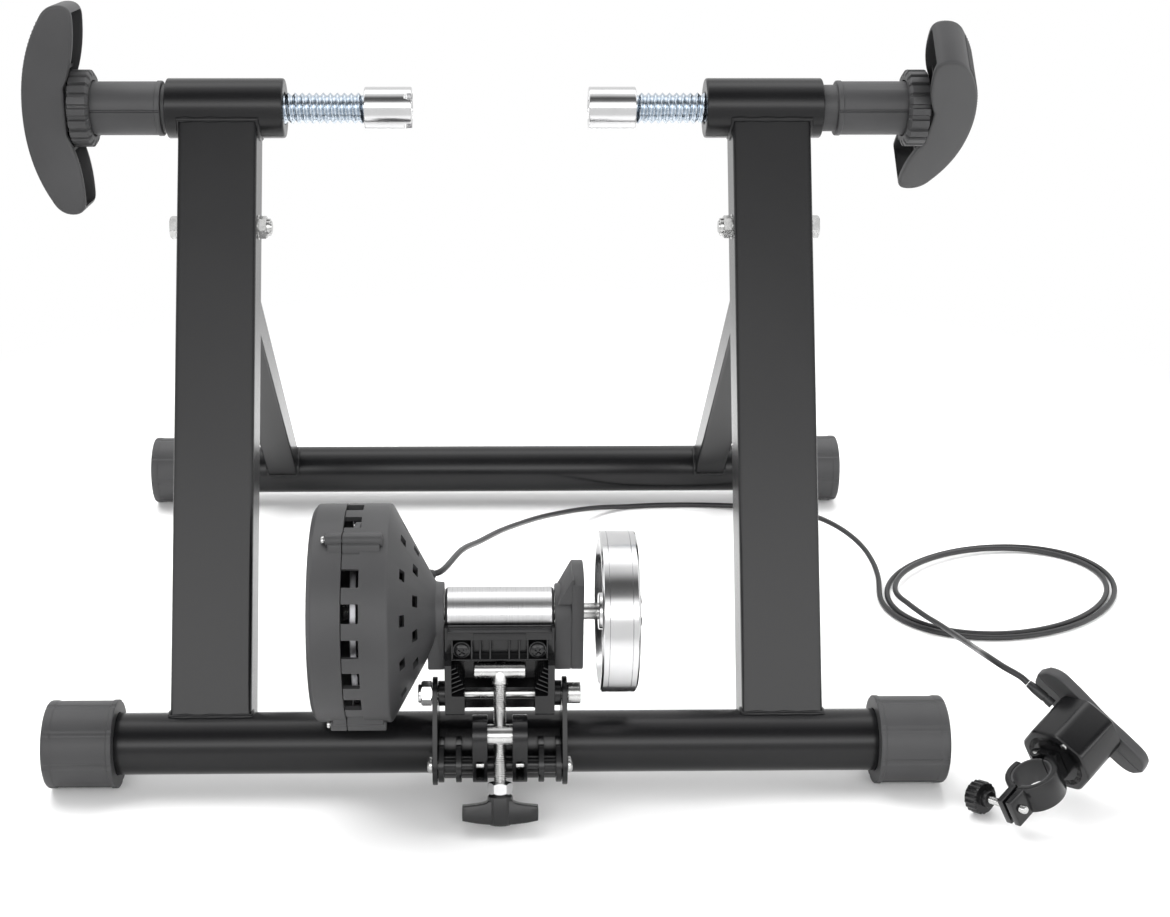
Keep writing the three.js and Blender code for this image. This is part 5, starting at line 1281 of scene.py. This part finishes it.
def addHousing():
    p = pod
    half, radius, end = p["half"], p["radius"], p["paddleX"] + p["paddle"]
    corners = [(y, z, p["corner"]) for y, z in arc(radius, 22.5, 337.5, 7)]
    inside = rod(radius - p["wall"] - 1.6, 3 - half, half + 3, 96, 0)
    tunnel = moved(rod(p["cableHole"], 10, 40, 24, 0), spun(90, "Z"), spun(remote["ferruleAngle"]),
                   shift(remote["ferruleX"]))
    shell = carved(plate(rounded(corners, 6), -half, half, 2.2, 3), [inside, tunnel])
    step = pipe(radius - 5, radius - 9, -half, 1 - half, 64, 0.3)
    post = rod(p["post"], 2 - half, half, 32, 0.4)
    addPiece("remoteHousing", onRemote(together(shell, step, post)), "black", "remote_housing", 30)
    size = p["caseScrew"]
    for k, angle in enumerate(p["caseScrewTurns"]):
        head = solid([(-1.2, 0), (-1.2, size, 0.5), (0.6, size, 0.1), (0.6, 0)], 32)
        head = moved(head, shift(0.3 - half, 0, radius - 4.6), spun(angle))
        addPiece(f"remoteCaseScrew{k + 1}", onRemote(head), "steel", ("remote_housing",))

    start, spool, bore = p["paddleX"], p["spool"], p["post"] + 0.5
    blade = moved(plate(paddleOutline(), start, end, 1.8, 4), spun(p["paddleTurn"]))
    core = turned(rounded([
        (start - 22, bore, 0.2), (start - 22, spool, 0.5), (start + 1, spool, 0.5), (start + 1, 2),
        (start, 2), (start, bore),
    ], 3), 96)
    boss = solid([(end - 1, 0), (end - 1, 7, 0.2), (end, 6.4, 0.5), (end, 0)], 64)
    addPiece("remoteLever", onRemote(together(blade, core, boss)), "mould", "remote_lever", 32)
    edge = pipe(spool + 0.1, spool - 2, start - 0.4, start + 0.1, 96, 0.1)
    addPiece("leverEdgeRing", onRemote(edge), "steel", ("remote_lever",))


def addJaws():
    p = pod
    bar, wide, half, hold, ring = p["barX"], p["barRadius"], p["jawHalf"], p["half"] + 0.3, p["jaw"]
    gap = half * 0.34
    knuckleIn, pinAt = gap + 0.5, (p["pinX"], p["pinY"])
    ear = (p["earX"] - p["earReach"], bar - ring + 2.6)
    parts = [block((bar + wide + 2, -hold), (-p["arm"], -0.3), (-half, half), 0.8, 2)]
    for sign in (-1, 1):
        low, high = onSide(sign, knuckleIn, half)
        parts.append(stoodAt(rod(p["knuckle"], low, high, 40, 0.5), *pinAt))
        parts.append(block((p["pinX"], -hold), (-p["arm"], p["pinY"]), (low, high), 0.5, 2))
    earLow, earHigh = p["earY"]
    parts.append(block(ear, (-earHigh, -earLow), (-half, half), 0.8, 2))
    fixed = carved(jawRing(181, 359, wide + 1.2, ring, half, 0.7), jawHoles(p["fixedGap"]), parts)
    addPiece("remoteClampFixed", onRemote(fixed), "black", "remote_clamp_fixed", 32)
    lining = jawRing(183, 357, wide, wide + p["lining"], half - 0.6, 0.2)
    addPiece("fixedJawLining", onRemote(lining), "mould", ("remote_clamp_fixed",))

    trims = [block((bar + 5, p["pinX"] + 9), (-1, 20), onSide(sign, gap, 12)) for sign in (-1, 1)]
    swing = carved(jawRing(1, 172, wide + 1.2, ring, half, 0.7), trims)
    parts = [
        block((bar + ring - 3, p["pinX"]), (0.3, p["pinY"]), (-gap, gap), 0.4, 2),
        stoodAt(rod(p["knuckle"], -gap, gap, 40, 0.4), *pinAt),
        block(ear, p["earY"], (-half, half), 0.8, 2),
    ]
    swing = carved(swing, jawHoles(p["swingGap"]), parts)
    addPiece("remoteClampSwing", onRemote(swing), "black", "remote_clamp_swing", 32)
    lining = jawRing(3, 150, wide, wide + p["lining"], half - 0.6, 0.2)
    addPiece("swingJawLining", onRemote(lining), "mould", ("remote_clamp_swing",))
    pin = stoodAt(rod(p["pin"], -half, half, 32, 0.4), *pinAt)
    addPiece("clampPin", onRemote(pin), "steel", "remote_clamp_pin")


def addThumbScrew():
    p = pod
    start, radius, collar = p["knobStart"], p["knobRadius"], p["knobCollar"]
    end = start + p["knobLength"]
    turnAt = (spun(90, "Z"), shift(p["earX"]))

    def grip(angle, x, size):
        if size < radius - 1:
            return size
        return size - p["ridgeDepth"] * (0.5 + 0.5 * math.cos(angle * p["ridges"]))
    knob = solid([
        (start - 4, 0), (start - 4, collar, 0.4), (start, collar, 0.3), (start, radius - 0.9, 0.4),
        (start + 1, radius, 0.4), (end - 1, radius, 0.5), (end, radius - 1.4, 0.6), (end - 0.6, 0),
    ], 216, ripple=grip)
    addPiece("thumbKnob", onRemote(moved(knob, *turnAt)), "black", "remote_thumb_screw", 32)
    core = p["thumb"] - p["threadDepth"]
    stem = threaded(core, p["thumb"], p["threadPitch"], p["stemStart"], start - 3, 24, 6)
    addPiece("thumbStem", onRemote(moved(stem, *turnAt)), "steel", ("remote_thumb_screw",), 60)
    seat = stoodAt(rod(p["seat"], -p["seatHalf"], p["seatHalf"], 32, 0.5), p["earX"], p["seatY"])
    addPiece("earBarrel", onRemote(seat), "steel", ("remote_clamp_swing",))


def addFerrule():
    foot, wide = remote["ferruleFoot"], remote["ferruleRadius"]
    end, waist, tip = foot + remote["ferruleLength"], wide - 0.3, wide - 0.65
    ferrule = solid([
        (foot, 0), (foot, wide, 0.3), (foot + 4, wide, 0.4), (foot + 4.4, waist, 0.2), (foot + 6, waist, 0.2),
        (foot + 6.4, wide, 0.4), (end - 5, wide, 1.5), (end, tip, 0.5), (end, 0),
    ])
    ferrule = moved(ferrule, spun(90, "Z"), spun(remote["ferruleAngle"]), shift(remote["ferruleX"]))
    addPiece("cableFerrule", onRemote(ferrule), "cable", "cable_ferrule")


addHousing()
addJaws()
addThumbScrew()
addFerrule()
print("remote")

# The frame's own solids that still show
plainNodes = {"magnet_carrier": "magnet", "left_bearing": "steel", "right_bearing": "steel"}
for name, look in plainNodes.items():
    node = frame["nodes"][name]
    node.data.materials.clear()
    node.data.materials.append(looks[look][0])

# Floor, light and background: the sky's levels go by degrees up from the front
studio = {
    "floorSize": 30, "floorColour": (0.9, 0.9, 0.9), "floorRough": 0.75, "skyPeak": 6, "softLight": 0.6,
    "sky": {0: 1, 14: 1, 26: 4.8, 38: 1.8, 49: 0.2, 68: 0.1, 90: 1, 112: 2.8, 135: 1, 180: 1},
    "fadeStart": 0.34, "fadeEnd": 0.85, "fadeCentre": (60, 150, 0), "lampAim": (0, 190, 180),
}
# Lamps: place in millimetres, size in metres and power in watts
lamps = {
    "keyLamp": {"at": (-400, 900, 1900), "size": (2.6, 1.6), "power": 64},
    "frontLamp": {"at": (0, -1980, 1330), "size": (2.8, 0.7), "power": 34},
    "fillLamp": {"at": (2000, -200, 900), "size": (1.2, 1.2), "power": 20},
    "rimLamp": {"at": (100, 1900, 1000), "size": (2.4, 0.6), "power": 18},
}


def mathNode(nodes, operation):
    node = nodes.new("ShaderNodeMath")
    node.operation = operation
    return node


# Links given as (from node, its output, to node, its input).
def wire(links, *pairs):
    for source, output, target, entry in pairs:
        links.new(source.outputs[output], target.inputs[entry])


# Paper that fades to pure white round the stand, for the camera and reflections only.
def addFloor():
    bm = bmesh.new()
    bmesh.ops.create_grid(bm, x_segments=1, y_segments=1, size=studio["floorSize"] / 2)
    obj = asObject(bm, "floor")
    material, nodes, links, shader = newMaterial("floorPaper", studio["floorColour"], studio["floorRough"])
    white = nodes.new("ShaderNodeEmission")
    ray = nodes.new("ShaderNodeLightPath")
    seen, share = mathNode(nodes, "MAXIMUM"), mathNode(nodes, "MULTIPLY")
    where = nodes.new("ShaderNodeNewGeometry")
    away = nodes.new("ShaderNodeVectorMath")
    away.operation = "DISTANCE"
    away.inputs[1].default_value = place(*studio["fadeCentre"])
    spread = nodes.new("ShaderNodeMapRange")
    spread.interpolation_type = "SMOOTHSTEP"
    spread.inputs["From Min"].default_value = studio["fadeStart"]
    spread.inputs["From Max"].default_value = studio["fadeEnd"]
    mix = nodes.new("ShaderNodeMixShader")
    wire(links,
         (ray, "Is Camera Ray", seen, 0), (ray, "Is Glossy Ray", seen, 1), (where, "Position", away, 0),
         (away, "Value", spread, "Value"), (spread, "Result", share, 0), (seen, "Value", share, 1),
         (share, "Value", mix, "Fac"), (shader, "BSDF", mix, 1), (white, "Emission", mix, 2),
         (mix, "Shader", nodes["Material Output"], "Surface"))
    obj.data.materials.append(material)
    return obj


def addLamp(name, lamp):
    data = bpy.data.lights.new(name, "AREA")
    data.shape = "RECTANGLE"
    data.size, data.size_y = lamp["size"]
    data.energy = lamp["power"]
    obj = bpy.data.objects.new(name, data)
    where, aim = place(*lamp["at"]), place(*studio["lampAim"])
    facing = (aim - where).to_track_quat("-Z", "Y")
    obj.matrix_world = Matrix.Translation(where) @ facing.to_matrix().to_4x4()
    obj.visible_glossy = False
    bpy.context.scene.collection.objects.link(obj)


# White to the camera, soft light for the scene, and light boards in the reflections.
def addWorld():
    world = bpy.data.worlds.new("studio")
    bpy.context.scene.world = world
    world.use_nodes = True
    nodes, links = world.node_tree.nodes, world.node_tree.links
    soft = nodes["Background"]
    soft.inputs["Color"].default_value = (1, 1, 1, 1)
    soft.inputs["Strength"].default_value = studio["softLight"]
    white = nodes.new("ShaderNodeBackground")
    white.inputs["Color"].default_value = (1, 1, 1, 1)
    boards = nodes.new("ShaderNodeBackground")
    boards.inputs["Strength"].default_value = studio["skyPeak"]
    where = nodes.new("ShaderNodeTexCoord")
    split = nodes.new("ShaderNodeSeparateXYZ")
    front, climb, share = (mathNode(nodes, operation) for operation in ("MULTIPLY", "ARCTAN2", "DIVIDE"))
    front.inputs[1].default_value = -1
    share.inputs[1].default_value = math.pi
    ramp = nodes.new("ShaderNodeValToRGB")
    ramp.color_ramp.interpolation = "EASE"
    stops = ramp.color_ramp.elements
    stops.remove(stops[1])
    for i, (degrees, level) in enumerate(studio["sky"].items()):
        stop = stops[0] if i == 0 else stops.new(degrees / 180)
        stop.position = degrees / 180
        stop.color = (*[level / studio["skyPeak"]] * 3, 1)
    ray = nodes.new("ShaderNodeLightPath")
    shine = nodes.new("ShaderNodeMixShader")
    seen = nodes.new("ShaderNodeMixShader")
    wire(links,
         (where, "Generated", split, "Vector"), (split, "Y", front, 0), (split, "Z", climb, 0),
         (front, "Value", climb, 1), (climb, "Value", share, 0), (share, "Value", ramp, "Fac"),
         (ramp, "Color", boards, "Color"), (ray, "Is Glossy Ray", shine, "Fac"),
         (soft, "Background", shine, 1), (boards, "Background", shine, 2),
         (ray, "Is Camera Ray", seen, "Fac"), (shine, "Shader", seen, 1), (white, "Background", seen, 2),
         (seen, "Shader", nodes["World Output"], "Surface"))


addFloor()
for name, lamp in lamps.items():
    addLamp(name, lamp)
addWorld()
bpy.context.scene.view_settings.view_transform = "Standard"
print("floor and lights")
